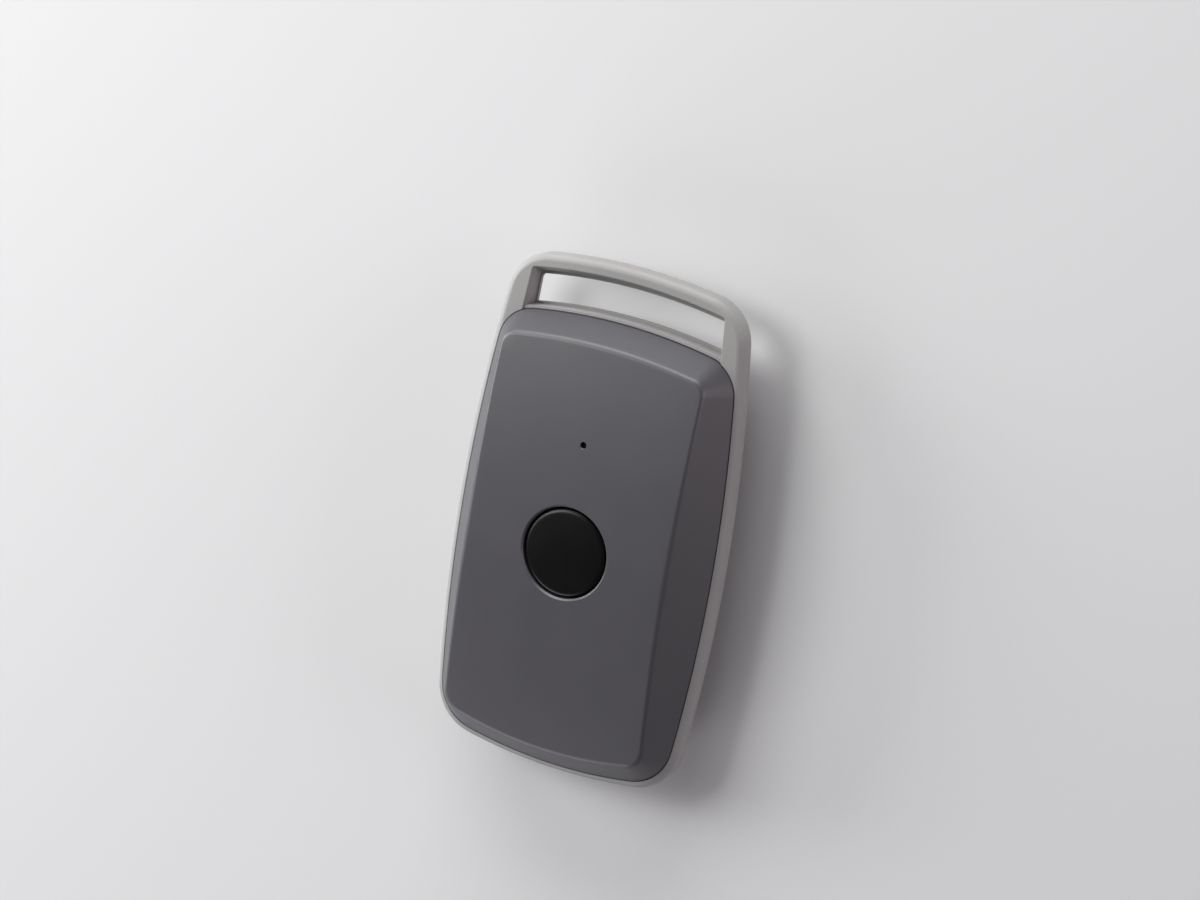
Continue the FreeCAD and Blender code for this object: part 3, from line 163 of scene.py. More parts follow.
class PanicButtonSettings(bpy.types.PropertyGroup):
    rim: PointerProperty(type=RimSizes)
    cover: PointerProperty(type=CoverSizes)
    button: PointerProperty(type=ButtonSizes)
    finish: PointerProperty(type=Finishes)


class Sizes:
    """A property group read in millimetres."""

    def __init__(self, group):
        self.group = group

    def __getattr__(self, name):
        return getattr(self.group, name) / MM


# Outlines

def arc_points(centre, radius, start, end, count):
    """Points along an arc without its last one."""
    step = (end - start) / count
    return [(centre[0] + radius * math.cos(start + step * k),
             centre[1] + radius * math.sin(start + step * k)) for k in range(count)]


def angle_of(centre, point):
    return math.atan2(point[1] - centre[1], point[0] - centre[0])


@dataclass
class Outline:
    """Rounded four-sided outline with bowed sides and ends, alike on both sides of the middle."""

    half_width: float
    side_radius: float
    side_y: float
    top_y: float
    top_radius: float
    bottom_y: float
    bottom_radius: float
    top_corner: float
    bottom_corner: float

    SIDE_POINTS = 40
    HALF_END_POINTS = 11
    CORNER_POINTS = 12

    def inset(self, distance, corner=None):
        return replace(
            self, half_width=self.half_width - distance, side_radius=self.side_radius - distance,
            top_y=self.top_y - distance, top_radius=self.top_radius - distance,
            bottom_y=self.bottom_y + distance, bottom_radius=self.bottom_radius - distance,
            top_corner=corner or self.top_corner - distance,
            bottom_corner=corner or self.bottom_corner - distance)

    def corner_centre(self, side, end, end_radius, radius, sign):
        """Centre of the corner arc that touches the right side arc and an end arc inside."""
        apart = math.hypot(end[0] - side[0], end[1] - side[1])
        from_side = self.side_radius - radius
        from_end = end_radius - radius
        along = (apart ** 2 + from_side ** 2 - from_end ** 2) / (2 * apart)
        off = math.sqrt(from_side ** 2 - along ** 2)
        ux, uy = (end[0] - side[0]) / apart, (end[1] - side[1]) / apart
        choices = [(side[0] + ux * along - uy * off * way, side[1] + uy * along + ux * off * way)
                   for way in (1, -1)]
        return max(choices, key=lambda place: place[0] + sign * place[1])

    def points(self):
        """Counter-clockwise points, starting in the middle of the lower end."""
        side = (self.half_width - self.side_radius, self.side_y)
        top = (0.0, self.top_y - self.top_radius)
        bottom = (0.0, self.bottom_y + self.bottom_radius)
        upper = self.corner_centre(side, top, self.top_radius, self.top_corner, 1)
        lower = self.corner_centre(side, bottom, self.bottom_radius, self.bottom_corner, -1)
        lower_side, upper_side = angle_of(side, lower), angle_of(side, upper)
        bottom_end, top_end = angle_of(bottom, lower), angle_of(top, upper)
        half = []
        for centre, radius, start, end, count in (
                (bottom, self.bottom_radius, -math.pi / 2, bottom_end, self.HALF_END_POINTS),
                (lower, self.bottom_corner, bottom_end, lower_side, self.CORNER_POINTS),
                (side, self.side_radius, lower_side, upper_side, self.SIDE_POINTS),
                (upper, self.top_corner, upper_side, top_end, self.CORNER_POINTS),
                (top, self.top_radius, top_end, math.pi / 2, self.HALF_END_POINTS)):
            half += arc_points(centre, radius, start, end, count)
        half.append((0.0, self.top_y))
        return half + [(-x, y) for x, y in reversed(half[1:-1])]


def rim_outline(settings):
    """The rim's outer edge."""
    rim = Sizes(settings.rim)
    return Outline(
        half_width=RIM_HIGH.x, side_radius=rim.side_radius, side_y=SIDES_Y,
        top_y=RIM_HIGH.y, top_radius=rim.top_radius,
        bottom_y=RIM_LOW.y, bottom_radius=rim.bottom_radius,
        top_corner=rim.top_corner, bottom_corner=rim.bottom_corner)


def cover_edge(settings):
    """The edge of both covers, inside the rim."""
    rim, inset = rim_outline(settings), Sizes(settings.cover).inset
    return replace(
        rim, half_width=rim.half_width - inset, side_radius=rim.side_radius - inset,
        top_y=FRONT_HIGH.y, top_radius=90.0, bottom_y=rim.bottom_y + inset, bottom_radius=76.6,
        top_corner=5.9, bottom_corner=7.2)


def front_face(settings):
    """The front face, inside the front cover's bevels."""
    cover, edge = Sizes(settings.cover), cover_edge(settings)
    return replace(
        edge, half_width=edge.half_width - cover.bevel_side, side_radius=346.0, side_y=CROWN_Y,
        top_y=edge.top_y - cover.bevel_top, bottom_y=edge.bottom_y + cover.bevel_bottom,
        bottom_radius=61.0, top_corner=0.7, bottom_corner=0.7)


def flat_back(settings):
    """The flat back, inside the rear cover's bevels."""
    cover, edge = Sizes(settings.cover), cover_edge(settings)
    return replace(
        edge, half_width=edge.half_width - cover.rear_side, top_y=edge.top_y - cover.rear_top,
        bottom_y=edge.bottom_y + cover.rear_bottom, top_corner=3.2, bottom_corner=3.2)


class Crown:
    """The front face: an arc along Y turned about a far axis below, lowered by a depth."""

    HALVINGS = 40

    def __init__(self, settings, depth):
        cover = Sizes(settings.cover)
        self.axis_z = cover.crown_top - cover.crown_across
        self.along = cover.crown_along - depth
        self.offset = cover.crown_across - cover.crown_along

    def z(self, x, y):
        reach = self.offset + math.sqrt(self.along ** 2 - (y - CROWN_Y) ** 2)
        return self.axis_z + math.sqrt(reach ** 2 - x ** 2)

    def point(self, x, y):
        return Vector((x, y, self.z(x, y)))

    def meet(self, low, high):
        """Where the straight line between two points passes through the face."""
        inside, outside = 0.0, 1.0
        for _ in range(self.HALVINGS):
            share = (inside + outside) / 2
            place = low.lerp(high, share)
            if place.z < self.z(place.x, place.y):
                inside = share
            else:
                outside = share
        return low.lerp(high, inside)


# Mesh making

def at_height(points, z):
    return [Vector((x, y, z)) for x, y in points]


def circle(radius, z, count, centre):
    return [Vector((x, y, z)) for x, y in arc_points(centre, radius, 0.0, math.tau, count)]


def skin(name, rings, loop=False):
    """A closed mesh through rings of equally many points in millimetres, with flat ends, or
    joined from the last ring to the first. Rings run counter-clockwise and upwards or inwards."""
    mesh = bmesh.new()
    rows = [[mesh.verts.new(point * MM) for point in ring] for ring in rings]
    count = len(rows[0])
    pairs = list(zip(rows, rows[1:]))
    if loop:
        pairs.append((rows[-1], rows[0]))
    for low, high in pairs:
        for k in range(count):
            mesh.faces.new((low[k], low[(k + 1) % count], high[(k + 1) % count], high[k]))
    if not loop:
        mesh.faces.new(list(reversed(rows[0])))
        mesh.faces.new(rows[-1])
    bmesh.ops.recalc_face_normals(mesh, faces=mesh.faces)
    data = bpy.data.meshes.new(name)
    mesh.to_mesh(data)
    mesh.free()
    piece = bpy.data.objects.new(name, data)
    bpy.context.scene.collection.objects.link(piece)
    return piece


def block(name, points, low, high):
    """A straight-sided solid between two heights."""
    return skin(name, [at_height(points, low), at_height(points, high)])


def lathe(name, profile, centre, count):
    """A turned solid from (radius, height) pairs that run from the bottom up the outside."""
    return skin(name, [circle(radius, z, count, centre) for radius, z in profile])


def merge_points(data):
    """Makes one point of those that a cut leaves in one place."""
    mesh = bmesh.new()
    mesh.from_mesh(data)
    bmesh.ops.remove_doubles(mesh, verts=mesh.verts, dist=SAME_PLACE * MM)
    mesh.to_mesh(data)
    mesh.free()


def combine(piece, tools, operation):
    """Adds the tools to the piece or cuts them out of it, and removes them."""
    for tool in tools:
        modifier = piece.modifiers.new(tool.name, "BOOLEAN")
        modifier.operation = operation
        modifier.solver = "EXACT"
        modifier.object = tool
    bpy.context.view_layer.update()
    whole = bpy.data.meshes.new_from_object(
        piece.evaluated_get(bpy.context.evaluated_depsgraph_get()))
    if not whole.polygons:
        raise RuntimeError(piece.name + " was lost in a " + operation)
    merge_points(whole)
    piece.modifiers.clear()
    old = piece.data
    piece.data = whole
    whole.name = piece.name
    bpy.data.meshes.remove(old)
    for tool in tools:
        shape = tool.data
        bpy.data.objects.remove(tool)
        bpy.data.meshes.remove(shape)


def smooth(piece, angle):
    """Smooth shading up to an angle, with large flat faces kept flat."""
    piece.data.polygons.foreach_set("use_smooth", [True] * len(piece.data.polygons))
    piece.data.set_sharp_from_angle(angle=math.radians(angle))
    weights = piece.modifiers.new("flat faces", "WEIGHTED_NORMAL")
    weights.keep_sharp = True
    weights.weight = 100


def dress(piece, body, slot, material, *nodes, angle=32.0):
    """Smooths a finished piece and hands it to its body, in place of its construction pieces."""
    smooth(piece, angle)
    piece.data.materials.clear()
    piece.data.materials.append(material)
    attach(piece, body)
    if nodes:
        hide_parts(*nodes)


def paint(material, *nodes):
    """Gives construction pieces that stay their finish."""
    for node in nodes:
        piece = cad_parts[node]
        piece.data.materials.clear()
        piece.data.materials.append(material)


def quarter(steps):
    """Pairs (inwards, upwards) of a quarter round of unit radius, from upright to level."""
    return [(1 - math.cos(math.pi / 2 * k / steps), math.sin(math.pi / 2 * k / steps))
            for k in range(steps + 1)]


def soft_corner(before, corner, after, radius, steps):
    """Points that round off a corner between two straight stretches."""
    start = corner + (before - corner).normalized() * radius
    end = corner + (after - corner).normalized() * radius
    points = []
    for k in range(steps + 1):
        share = k / steps
        points.append(start.lerp(corner, share).lerp(corner.lerp(end, share), share))
    return points


# Materials

# The middle ranges that most values of a noise fall in, and the whole range of a mask
NARROW = (0.35, 0.65)
WIDE = (0.3, 0.7)
FULL = (0.0, 1.0)


class Wire:
    """An output of a node. Sums, differences and products of it add their Math nodes."""

    def __init__(self, finish, socket):
        self.finish = finish
        self.socket = socket

    def math(self, operation, first, second):
        return self.finish.node("ShaderNodeMath", {"operation": operation},
                                {0: first, 1: second})

    def __add__(self, other):
        return self.math("ADD", self, other)

    def __radd__(self, other):
        return self.math("ADD", other, self)

    def __sub__(self, other):
        return self.math("SUBTRACT", self, other)

    def __rsub__(self, other):
        return self.math("SUBTRACT", other, self)

    def __mul__(self, other):
        return self.math("MULTIPLY", self, other)

    def __rmul__(self, other):
        return self.math("MULTIPLY", other, self)


class Finish:
    """A material with one principled shader."""

    # The mix node has several sockets of one name, so those for colours go by number.
    MIX_FIRST, MIX_SECOND, MIX_RESULT = 6, 7, 2

    def __init__(self, name):
        self.material = bpy.data.materials.new(name)
        self.material.use_nodes = True
        self.tree = self.material.node_tree
        self.tree.nodes.clear()

    def node(self, kind, settings=None, sockets=None, output=0):
        """Adds a node with its settings, then the values or links of its inputs, which go by
        name or number."""
        node = self.tree.nodes.new(kind)
        for name, value in (settings or {}).items():
            setattr(node, name, value)
        for name, value in (sockets or {}).items():
            socket = node.inputs[name]
            if isinstance(value, Wire):
                self.tree.links.new(value.socket, socket)
            else:
                socket.default_value = value
        return Wire(self, node.outputs[output]) if node.outputs else None

    def place(self):
        """Where a point of the surface is on its piece, in metres."""
        return self.node("ShaderNodeTexCoord", output="Object")

    def noise(self, size, detail=2.0, roughness=0.5, stretch=(1.0, 1.0, 1.0)):
        """Noise from 0 to 1 with features of a size in millimetres."""
        where = self.node("ShaderNodeMapping", None,
                          {"Vector": self.place(), "Scale": stretch})
        return self.node("ShaderNodeTexNoise", {"noise_dimensions": "3D"},
                         {"Vector": where, "Scale": 1 / (size * MM), "Detail": detail,
                          "Roughness": roughness})

    def span(self, value, source, target):
        """Maps a value from one range to another and holds it at the ends."""
        return self.node("ShaderNodeMapRange", {"clamp": True},
                         {"Value": value, "From Min": source[0], "From Max": source[1],
                          "To Min": target[0], "To Max": target[1]})

    def tint(self, mask, first, second):
        """Mixes two colours by a mask from 0 to 1."""
        return self.node("ShaderNodeMix", {"data_type": "RGBA"},
                         {"Factor": mask, self.MIX_FIRST: first, self.MIX_SECOND: second},
                         output=self.MIX_RESULT)

    def bump(self, height, depth, strength):
        """A bump of a depth in millimetres for heights from 0 to 1."""
        return self.node("ShaderNodeBump", None,
                         {"Height": height, "Strength": strength, "Distance": depth * MM})

    def surface(self, **inputs):
        """Joins the shader up; underscores in names stand for spaces."""
        named = {name.replace("_", " "): value for name, value in inputs.items()}
        shader = self.node("ShaderNodeBsdfPrincipled", None, named)
        self.node("ShaderNodeOutputMaterial", None, {"Surface": shader})
        return self.material


def opaque(tint, factor=1.0):
    """A colour for a node, darker or lighter by a factor."""
    return (tint[0] * factor, tint[1] * factor, tint[2] * factor, 1.0)


def case_plastic(name, tint, roughness, shine, grain=0.22):
    """Moulded plastic with the fine spark-eroded grain of a case, and a faint unevenness of its
    tone and its gloss."""
    finish = Finish(name)
    cloud = finish.noise(14.0, detail=3.0)
    fleck = finish.noise(grain, roughness=0.6)
    rubbed = finish.noise(5.5)
    tone = finish.span(cloud * 0.6 + fleck * 0.4, NARROW, FULL)
    dull = finish.span(rubbed, NARROW, (roughness - 0.01, roughness + 0.014))
    relief = finish.bump(fleck * 0.7 + finish.noise(grain * 2.6, detail=1.0) * 0.3,
                         depth=0.006, strength=0.55)
    return finish.surface(
        Base_Color=finish.tint(tone, opaque(tint, 0.955), opaque(tint, 1.045)),
        Roughness=dull, Normal=relief, IOR=1.49, Specular_IOR_Level=shine)


def soft_rubber(name, tint):
    """Silicone rubber or foam with pale dust on it."""
    finish = Finish(name)
    dust = finish.noise(1.4, detail=3.0)
    return finish.surface(
        Base_Color=finish.tint(dust, opaque(tint), opaque(tint, 1.6)),
        Roughness=finish.span(dust, WIDE, (0.62, 0.74)),
        Normal=finish.bump(finish.noise(0.12), depth=0.004, strength=0.5))


def rolled_metal(name, tint, roughness, stretch=(1.0, 12.0, 1.0)):
    """Sheet or turned metal with fine drawn lines, or with fine grains where nothing is
    stretched."""
    finish = Finish(name)
    lines = finish.noise(0.5, detail=3.0, roughness=0.6, stretch=stretch)
    stain = finish.noise(3.0)
    return finish.surface(
        Base_Color=finish.tint(stain, opaque(tint, 0.93), opaque(tint, 1.05)),
        Metallic=1.0,
        Roughness=finish.span(lines, WIDE, (roughness - 0.06, roughness + 0.08)),
        Normal=finish.bump(lines, depth=0.003, strength=0.4))


def clear_plastic(name):
    """Smoked clear plastic, opaque here because the unlit guide looks black."""
    finish = Finish(name)
    swirl = finish.noise(2.5)
    return finish.surface(
        Base_Color=finish.tint(swirl, (0.010, 0.010, 0.012, 1), (0.016, 0.016, 0.018, 1)),
        Roughness=finish.span(swirl, WIDE, (0.18, 0.26)), Specular_IOR_Level=0.2)


def lamp_plastic(name):
    """Surface-mounted lamp: a white housing round a yellowish window."""
    lamp_height, window_radius, soft_edge = 1.4, 1.0, 0.1
    middle = Vector((0.0, INDICATOR_Y, BOARD_TOP + lamp_height)) * MM
    finish = Finish(name)
    away = finish.node("ShaderNodeVectorMath", {"operation": "DISTANCE"},
                       {0: finish.place(), 1: middle}, output="Value")
    window = finish.span(away, ((window_radius - soft_edge) * MM,
                                (window_radius + soft_edge) * MM), (1.0, 0.0))
    return finish.surface(
        Base_Color=finish.tint(window, (0.72, 0.72, 0.69, 1), (0.72, 0.55, 0.16, 1)),
        Roughness=0.38 + finish.noise(0.6) * 0.1)


def board_laminate(name):
    """Green lacquer over copper tracks, with the glass weave showing faintly through."""
    finish = Finish(name)
    cells = finish.node("ShaderNodeTexBrick", {"offset": 0.37, "squash": 1.4},
                        {"Vector": finish.place(), "Scale": 330.0, "Mortar Size": 0.032,
                         "Brick Width": 0.9, "Row Height": 0.45}, output="Fac")
    along, across = [
        finish.node("ShaderNodeTexWave", {"wave_type": "BANDS", "bands_direction": direction},
                    {"Vector": finish.place(), "Scale": 900.0, "Distortion": 1.2}, output="Fac")
        for direction in "XY"]
    ground = finish.tint(along * 0.5 + across * 0.5, (0.012, 0.085, 0.03, 1),
                         (0.016, 0.11, 0.04, 1))
    return finish.surface(
        Base_Color=finish.tint(cells, ground, (0.03, 0.2, 0.075, 1)),
        Roughness=0.34 + cells * 0.08, Normal=finish.bump(cells, depth=0.03, strength=0.6))


def moulded_black(name, tint, roughness, speck=0.35):
    """Chip or holder compound: black with pale filler specks."""
    finish = Finish(name)
    specks = finish.span(finish.noise(speck, detail=3.0, roughness=0.7), (0.62, 0.72), FULL)
    return finish.surface(
        Base_Color=finish.tint(specks * 0.5, opaque(tint), opaque(tint, 3.0)),
        Roughness=finish.span(finish.noise(2.0), WIDE, (roughness - 0.04, roughness + 0.06)),
        Normal=finish.bump(finish.noise(0.2), depth=0.005, strength=0.5))


def capped_ceramic(name, body_tint, reach):
    """Chip capacitors or resistors in a row along X: ceramic with tinned caps at both ends of
    each piece, from a reach in millimetres on either side of its middle."""
    spacing = 3.0 * MM
    cap_edge = ((reach - 0.05) * MM, (reach + 0.02) * MM)
    finish = Finish(name)
    across = finish.node("ShaderNodeSeparateXYZ", None, {"Vector": finish.place()})
    phase = finish.node("ShaderNodeMath", {"operation": "WRAP"},
                        {0: across + spacing / 2, 1: spacing, 2: 0.0})
    from_middle = finish.node("ShaderNodeMath", {"operation": "ABSOLUTE"},
                              {0: phase - spacing / 2})
    cap = finish.span(from_middle, cap_edge, FULL)
    grain = finish.noise(0.3)
    return finish.surface(
        Base_Color=finish.tint(cap, opaque(body_tint), (0.62, 0.61, 0.59, 1)),
        Metallic=cap * 0.9, Roughness=finish.span(grain, WIDE, (0.35, 0.5)))


# Operators

class PANIC_OT_front_cover(bpy.types.Operator):
    """Front cover: bevels with soft edges, crowned face, button hole, collar and bosses"""

    bl_idname = "panic_button.front_cover"
    bl_label = "Front cover"

    def execute(self, context):
        settings = context.scene.panic_button
        cover, button = Sizes(settings.cover), Sizes(settings.button)
        edge, face = cover_edge(settings), front_face(settings)
        edge_height, collar_wall, inner_corner = 0.65, 2.1, 0.8
        bevel_z = FRONT_LOW.z + edge_height
        collar_radius = button.hole_radius + collar_wall
        outside = self.shell_rings(settings, edge, face, 0.0, bevel_z,
                                   button.hole_radius + button.hole_chamfer)
        inside = self.shell_rings(settings, edge.inset(cover.wall),
                                  face.inset(cover.wall, inner_corner), cover.wall, bevel_z,
                                  collar_radius)
        mouth = outside[-1]
        below_chamfer = [point.z - button.hole_chamfer for point in mouth]
        on_seal = [SEAL_TOP] * len(mouth)
        collar = [
            self.round_hole(mouth, button.hole_radius, below_chamfer),
            self.round_hole(mouth, button.hole_radius, on_seal),
            self.round_hole(mouth, collar_radius, on_seal),
        ]
        piece = skin("front_cover_shell", outside + collar + inside[::-1], loop=True)
        self.add_inner_parts(piece)
        dress(piece, "housing", "cover_plastic",
              case_plastic("cover plastic", settings.finish.cover, roughness=0.44, shine=0.7),
              "front_cover")
        return {"FINISHED"}

    @staticmethod
    def round_hole(ring, radius, heights):
        """A ring's points moved to a circle round the button, each to a height of its own."""
        centre = Vector((0.0, BUTTON_Y, 0.0))
        moved = []
        for point, z in zip(ring, heights):
            away = Vector((point.x, point.y, 0.0)) - centre
            moved.append(centre + away.normalized() * radius + Vector((0, 0, z)))
        return moved

    @staticmethod
    def shell_rings(settings, edge, face, depth, bevel_z, hole_radius):
        """Rings of one skin of the cover, from its open edge over the bevels and the face to
        a circle round the button."""
        cover, crown = Sizes(settings.cover), Crown(settings, depth)
        up_bevel = (0.2, 0.4, 0.6, 0.8)
        over_face = (0.06, 0.15, 0.25, 0.36, 0.48, 0.6, 0.72, 0.84, 0.94, 1.0)
        foot_round, foot_steps, edge_steps, inner_share = 0.14, 3, 6, 0.1
        columns = []
        for (ex, ey), (fx, fy) in zip(edge.points(), face.points()):
            foot = Vector((ex, ey, FRONT_LOW.z))
            low = Vector((ex, ey, bevel_z))
            corner = crown.meet(low, Vector((fx, fy, cover.crown_top)))
            away = Vector((corner.x, corner.y - BUTTON_Y, 0.0)).normalized() * hole_radius
            goal = crown.point(away.x, away.y + BUTTON_Y)
            inwards = corner.lerp(goal, inner_share)
            inwards.z = crown.z(inwards.x, inwards.y)
            column = [foot] + soft_corner(foot, low, corner, foot_round, foot_steps)
            column += [low.lerp(corner, share) for share in up_bevel]
            column += soft_corner(low, corner, inwards, cover.edge_round, edge_steps)
            start = column[-1]
            for share in over_face:
                place = start.lerp(goal, share)
                column.append(crown.point(place.x, place.y))
            columns.append(column)
        return [list(ring) for ring in zip(*columns)]

    @staticmethod
    def add_inner_parts(piece):
        """Bosses for the screws and a socket for the light guide, with their bores."""
        overlap, count = 0.5, 48
        boss_radius, boss_top = 2.9, 12.95
        socket_radius, socket_top = 2.35, 14.9
        pilot_radius, pilot_depth, pilot_count = 0.95, 3.2, 32
        guide_radius, shoulder_z = 1.45, 13.05
        hole_radius, funnel_low, funnel_high, funnel_flare = 0.52, 15.49, 16.09, 0.6
        middle = (0.0, INDICATOR_Y)
        bosses = [lathe("boss", ((boss_radius, BOARD_TOP), (boss_radius, boss_top)), place, count)
                  for place in SCREW_PLACES]
        bosses.append(lathe("socket", ((socket_radius, GUIDE_LOW.z), (socket_radius, socket_top)),
                            middle, count))
        combine(piece, bosses, "UNION")
        bores = [lathe("pilot", ((pilot_radius, BOARD_TOP - overlap),
                                 (pilot_radius, BOARD_TOP + pilot_depth)), place, pilot_count)
                 for place in SCREW_PLACES]
        bores.append(lathe("bore", (
            (guide_radius, GUIDE_LOW.z - overlap), (guide_radius, shoulder_z),
            (hole_radius, shoulder_z), (hole_radius, funnel_low),
            (hole_radius + funnel_flare, funnel_high)), middle, count))
        combine(piece, bores, "DIFFERENCE")


class PANIC_OT_rim_frame(bpy.types.Operator):
    """Rim frame: rounded band with the lanyard slot and the steps for both covers"""

    bl_idname = "panic_button.rim_frame"
    bl_label = "Rim frame"
    EDGE_STEPS = 5

    def execute(self, context):
        settings = context.scene.panic_button
        rim, cover = Sizes(settings.rim), Sizes(settings.cover)
        outline, edge = rim_outline(settings), cover_edge(settings)
        front, rear = RIM_HIGH.z, RIM_LOW.z
        back_steps, front_steps = 7, 12
        rings = [at_height(outline.inset(rim.back_round * inwards).points(),
                           rear + rim.back_round * (1 - upwards))
                 for inwards, upwards in reversed(quarter(back_steps))]
        rings += [at_height(outline.inset(rim.front_round * inwards).points(),
                            front - rim.front_round * (1 - upwards))
                  for inwards, upwards in quarter(front_steps)]
        piece = skin("rim_band", rings)
        opening = edge.inset(cover.wall).points()
        step = edge.inset(-rim.gap).points()
        tools = [
            block("opening", opening, rear - OVER, front + OVER),
            block("front step", step, front - rim.rebate, front + OVER),
            block("rear step", step, rear - OVER, rear + rim.rebate),
            self.slot_cutter(rim, front, rear),
            self.step_cutter(rim, front),
        ]
        combine(piece, tools, "DIFFERENCE")
        dress(piece, "housing", "rim_plastic",
              case_plastic("rim plastic", settings.finish.rim, roughness=0.48, shine=0.45),
              "rim_frame")
        return {"FINISHED"}

    @staticmethod
    def slot_points(top_y, bottom_y, upper_x, flare, corner):
        """Counter-clockwise outline of the slot: bowed long sides, straight flanks that open
        inwards, and rounded corners on its outer side."""
        top_radius, bottom_radius = 92.0, 91.0
        side_steps, flank_steps, corner_steps, rounds = 20, 3, 10, 6
        top = (0.0, top_y - top_radius)
        low_x = upper_x + flare

        def bottom_edge(x):
            return bottom_y - bottom_radius + math.sqrt(bottom_radius ** 2 - x ** 2)

        low_y = bottom_edge(low_x)
        tilt = 0.0
        for _ in range(rounds):
            round_x = upper_x - corner * math.cos(tilt)
            round_y = top[1] + math.sqrt((top_radius - corner) ** 2 - round_x ** 2)
            upper_y = round_y + corner * math.sin(tilt)
            tilt = math.atan2(low_x - upper_x, upper_y - low_y)
        turn = angle_of(top, (round_x, round_y))
        right = [(low_x * k / side_steps, bottom_edge(low_x * k / side_steps))
                 for k in range(side_steps)]
        right += [(low_x + (upper_x - low_x) * k / flank_steps,
                   low_y + (upper_y - low_y) * k / flank_steps) for k in range(flank_steps)]
        right += arc_points((round_x, round_y), corner, tilt, turn, corner_steps)
        right += arc_points(top, top_radius, turn, math.pi / 2, side_steps)
        right.append((0.0, top_y))
        return right + [(-x, y) for x, y in reversed(right[1:-1])]

    def slot_cutter(self, rim, front, rear):
        """The slot's inside: a funnel with soft edges in front of the thin lip."""
        top_y = RIM_HIGH.y - rim.bar
        bottom_y = top_y - rim.slot_height
        half_width = RIM_HIGH.x - rim.slot_margin
        lip_height, lip_corner, mouth_corner = 0.7, 0.9, 0.5
        lip_top, edge_z = rear + lip_height, front - rim.slot_round

        def funnel(share, grow, z):
            """Its outline at a height; share runs from its neck at 0 to its mouth at 1."""
            return at_height(self.slot_points(
                top_y + rim.slot_lip + rim.slot_slope * share + grow,
                bottom_y - rim.crossbar_lip - grow, half_width + rim.slot_lip + grow,
                rim.slot_flare + (rim.front_flare - rim.slot_flare) * share,
                lip_corner + (mouth_corner - lip_corner) * share + grow), z)

        lip = self.slot_points(top_y, bottom_y, half_width, rim.slot_flare, lip_corner)
        rings = [at_height(lip, rear - OVER), at_height(lip, lip_top)]
        # The funnel opens fastest just above the lip.
        rings += [funnel(share, 0.0, lip_top + (edge_z - lip_top) * rise)
                  for rise, share in ((0.0, 0.0), (0.06, 0.06 ** 0.5), (0.5, 0.5), (1.0, 1.0))]
        rings += [funnel(1.0, rim.slot_round * inwards, edge_z + rim.slot_round * upwards)
                  for inwards, upwards in quarter(self.EDGE_STEPS)[1:]]
        rings.append([point + Vector((0, 0, OVER)) for point in rings[-1]])
        return skin("slot", rings)

    def step_cutter(self, rim, front):
        """Lowers the crossbar between the slot and the covers; its ends run on from the
        slot's flanks and have the same rounding."""
        into_cover, into_slot, beside, flare, corner = 0.5, 1.0, 0.41, 0.215, 0.3
        low_y = FRONT_HIGH.y - into_cover
        high_y = RIM_HIGH.y - rim.bar - rim.slot_height + into_slot
        half_width = RIM_HIGH.x - rim.slot_margin + rim.slot_lip + beside

        def outline(grow, z):
            return at_height(self.slot_points(high_y, low_y, half_width + grow, flare,
                                              corner + grow), z)

        rings = [outline(0.0, front - rim.crossbar_step)]
        rings += [outline(rim.slot_round * inwards, front - rim.slot_round * (1 - upwards))
                  for inwards, upwards in quarter(self.EDGE_STEPS)]
        rings.append([point + Vector((0, 0, OVER)) for point in rings[-1]])
        return skin("step", rings)


class PANIC_OT_rear_cover(bpy.types.Operator):
    """Rear cover: flat back, bevels, screw posts and recesses"""

    bl_idname = "panic_button.rear_cover"
    bl_label = "Rear cover"

    def execute(self, context):
        settings = context.scene.panic_button
        cover = Sizes(settings.cover)
        edge, back = cover_edge(settings), flat_back(settings)
        edge_height, band, floor_inset = 6.1, 0.75, 0.6
        flat_round, flat_rise, middle_inset, middle_rise = 0.7, 0.4, 0.45, 0.3
        up_bevel = (0.03, 0.25, 0.5, 0.75, 0.97, 1.0)
        edge_z = REAR_LOW.z + edge_height
        low, high = at_height(back.points(), flat_rise), at_height(edge.points(), edge_z - band)
        rings = [
            at_height(back.inset(flat_round).points(), 0.0),
            at_height(back.inset(flat_round * middle_inset).points(), flat_rise * middle_rise),
            low,
        ]
        rings += [[start.lerp(end, share) for start, end in zip(low, high)] for share in up_bevel]
        rings += [at_height(edge.points(), edge_z),
                  at_height(edge.inset(cover.wall).points(), edge_z),
                  at_height(back.inset(floor_inset).points(), cover.wall)]
        piece = skin("rear_cover_shell", rings)
        post_radius, post_z, count = 3.4, 0.9, 64
        posts = [lathe("post", ((post_radius, post_z), (post_radius, REAR_HIGH.z)), place, count)
                 for place in SCREW_PLACES]
        combine(piece, posts, "UNION")
        recess_radius, recess_depth, recess_flare, hole_radius = 2.4, 3.0, 0.5, 1.3
        flare_low, flare_high = -0.3, 0.2
        holes = [lathe("screw hole", (
            (recess_radius + recess_flare, flare_low), (recess_radius, flare_high),
            (recess_radius, recess_depth), (hole_radius, recess_depth),
            (hole_radius, REAR_HIGH.z + OVER)), place, count) for place in SCREW_PLACES]
        combine(piece, holes, "DIFFERENCE")
        dress(piece, "housing", "cover_plastic",
              case_plastic("rear cover plastic", settings.finish.cover, roughness=0.5,
                           shine=0.7, grain=0.3),
              "rear_cover")
        return {"FINISHED"}


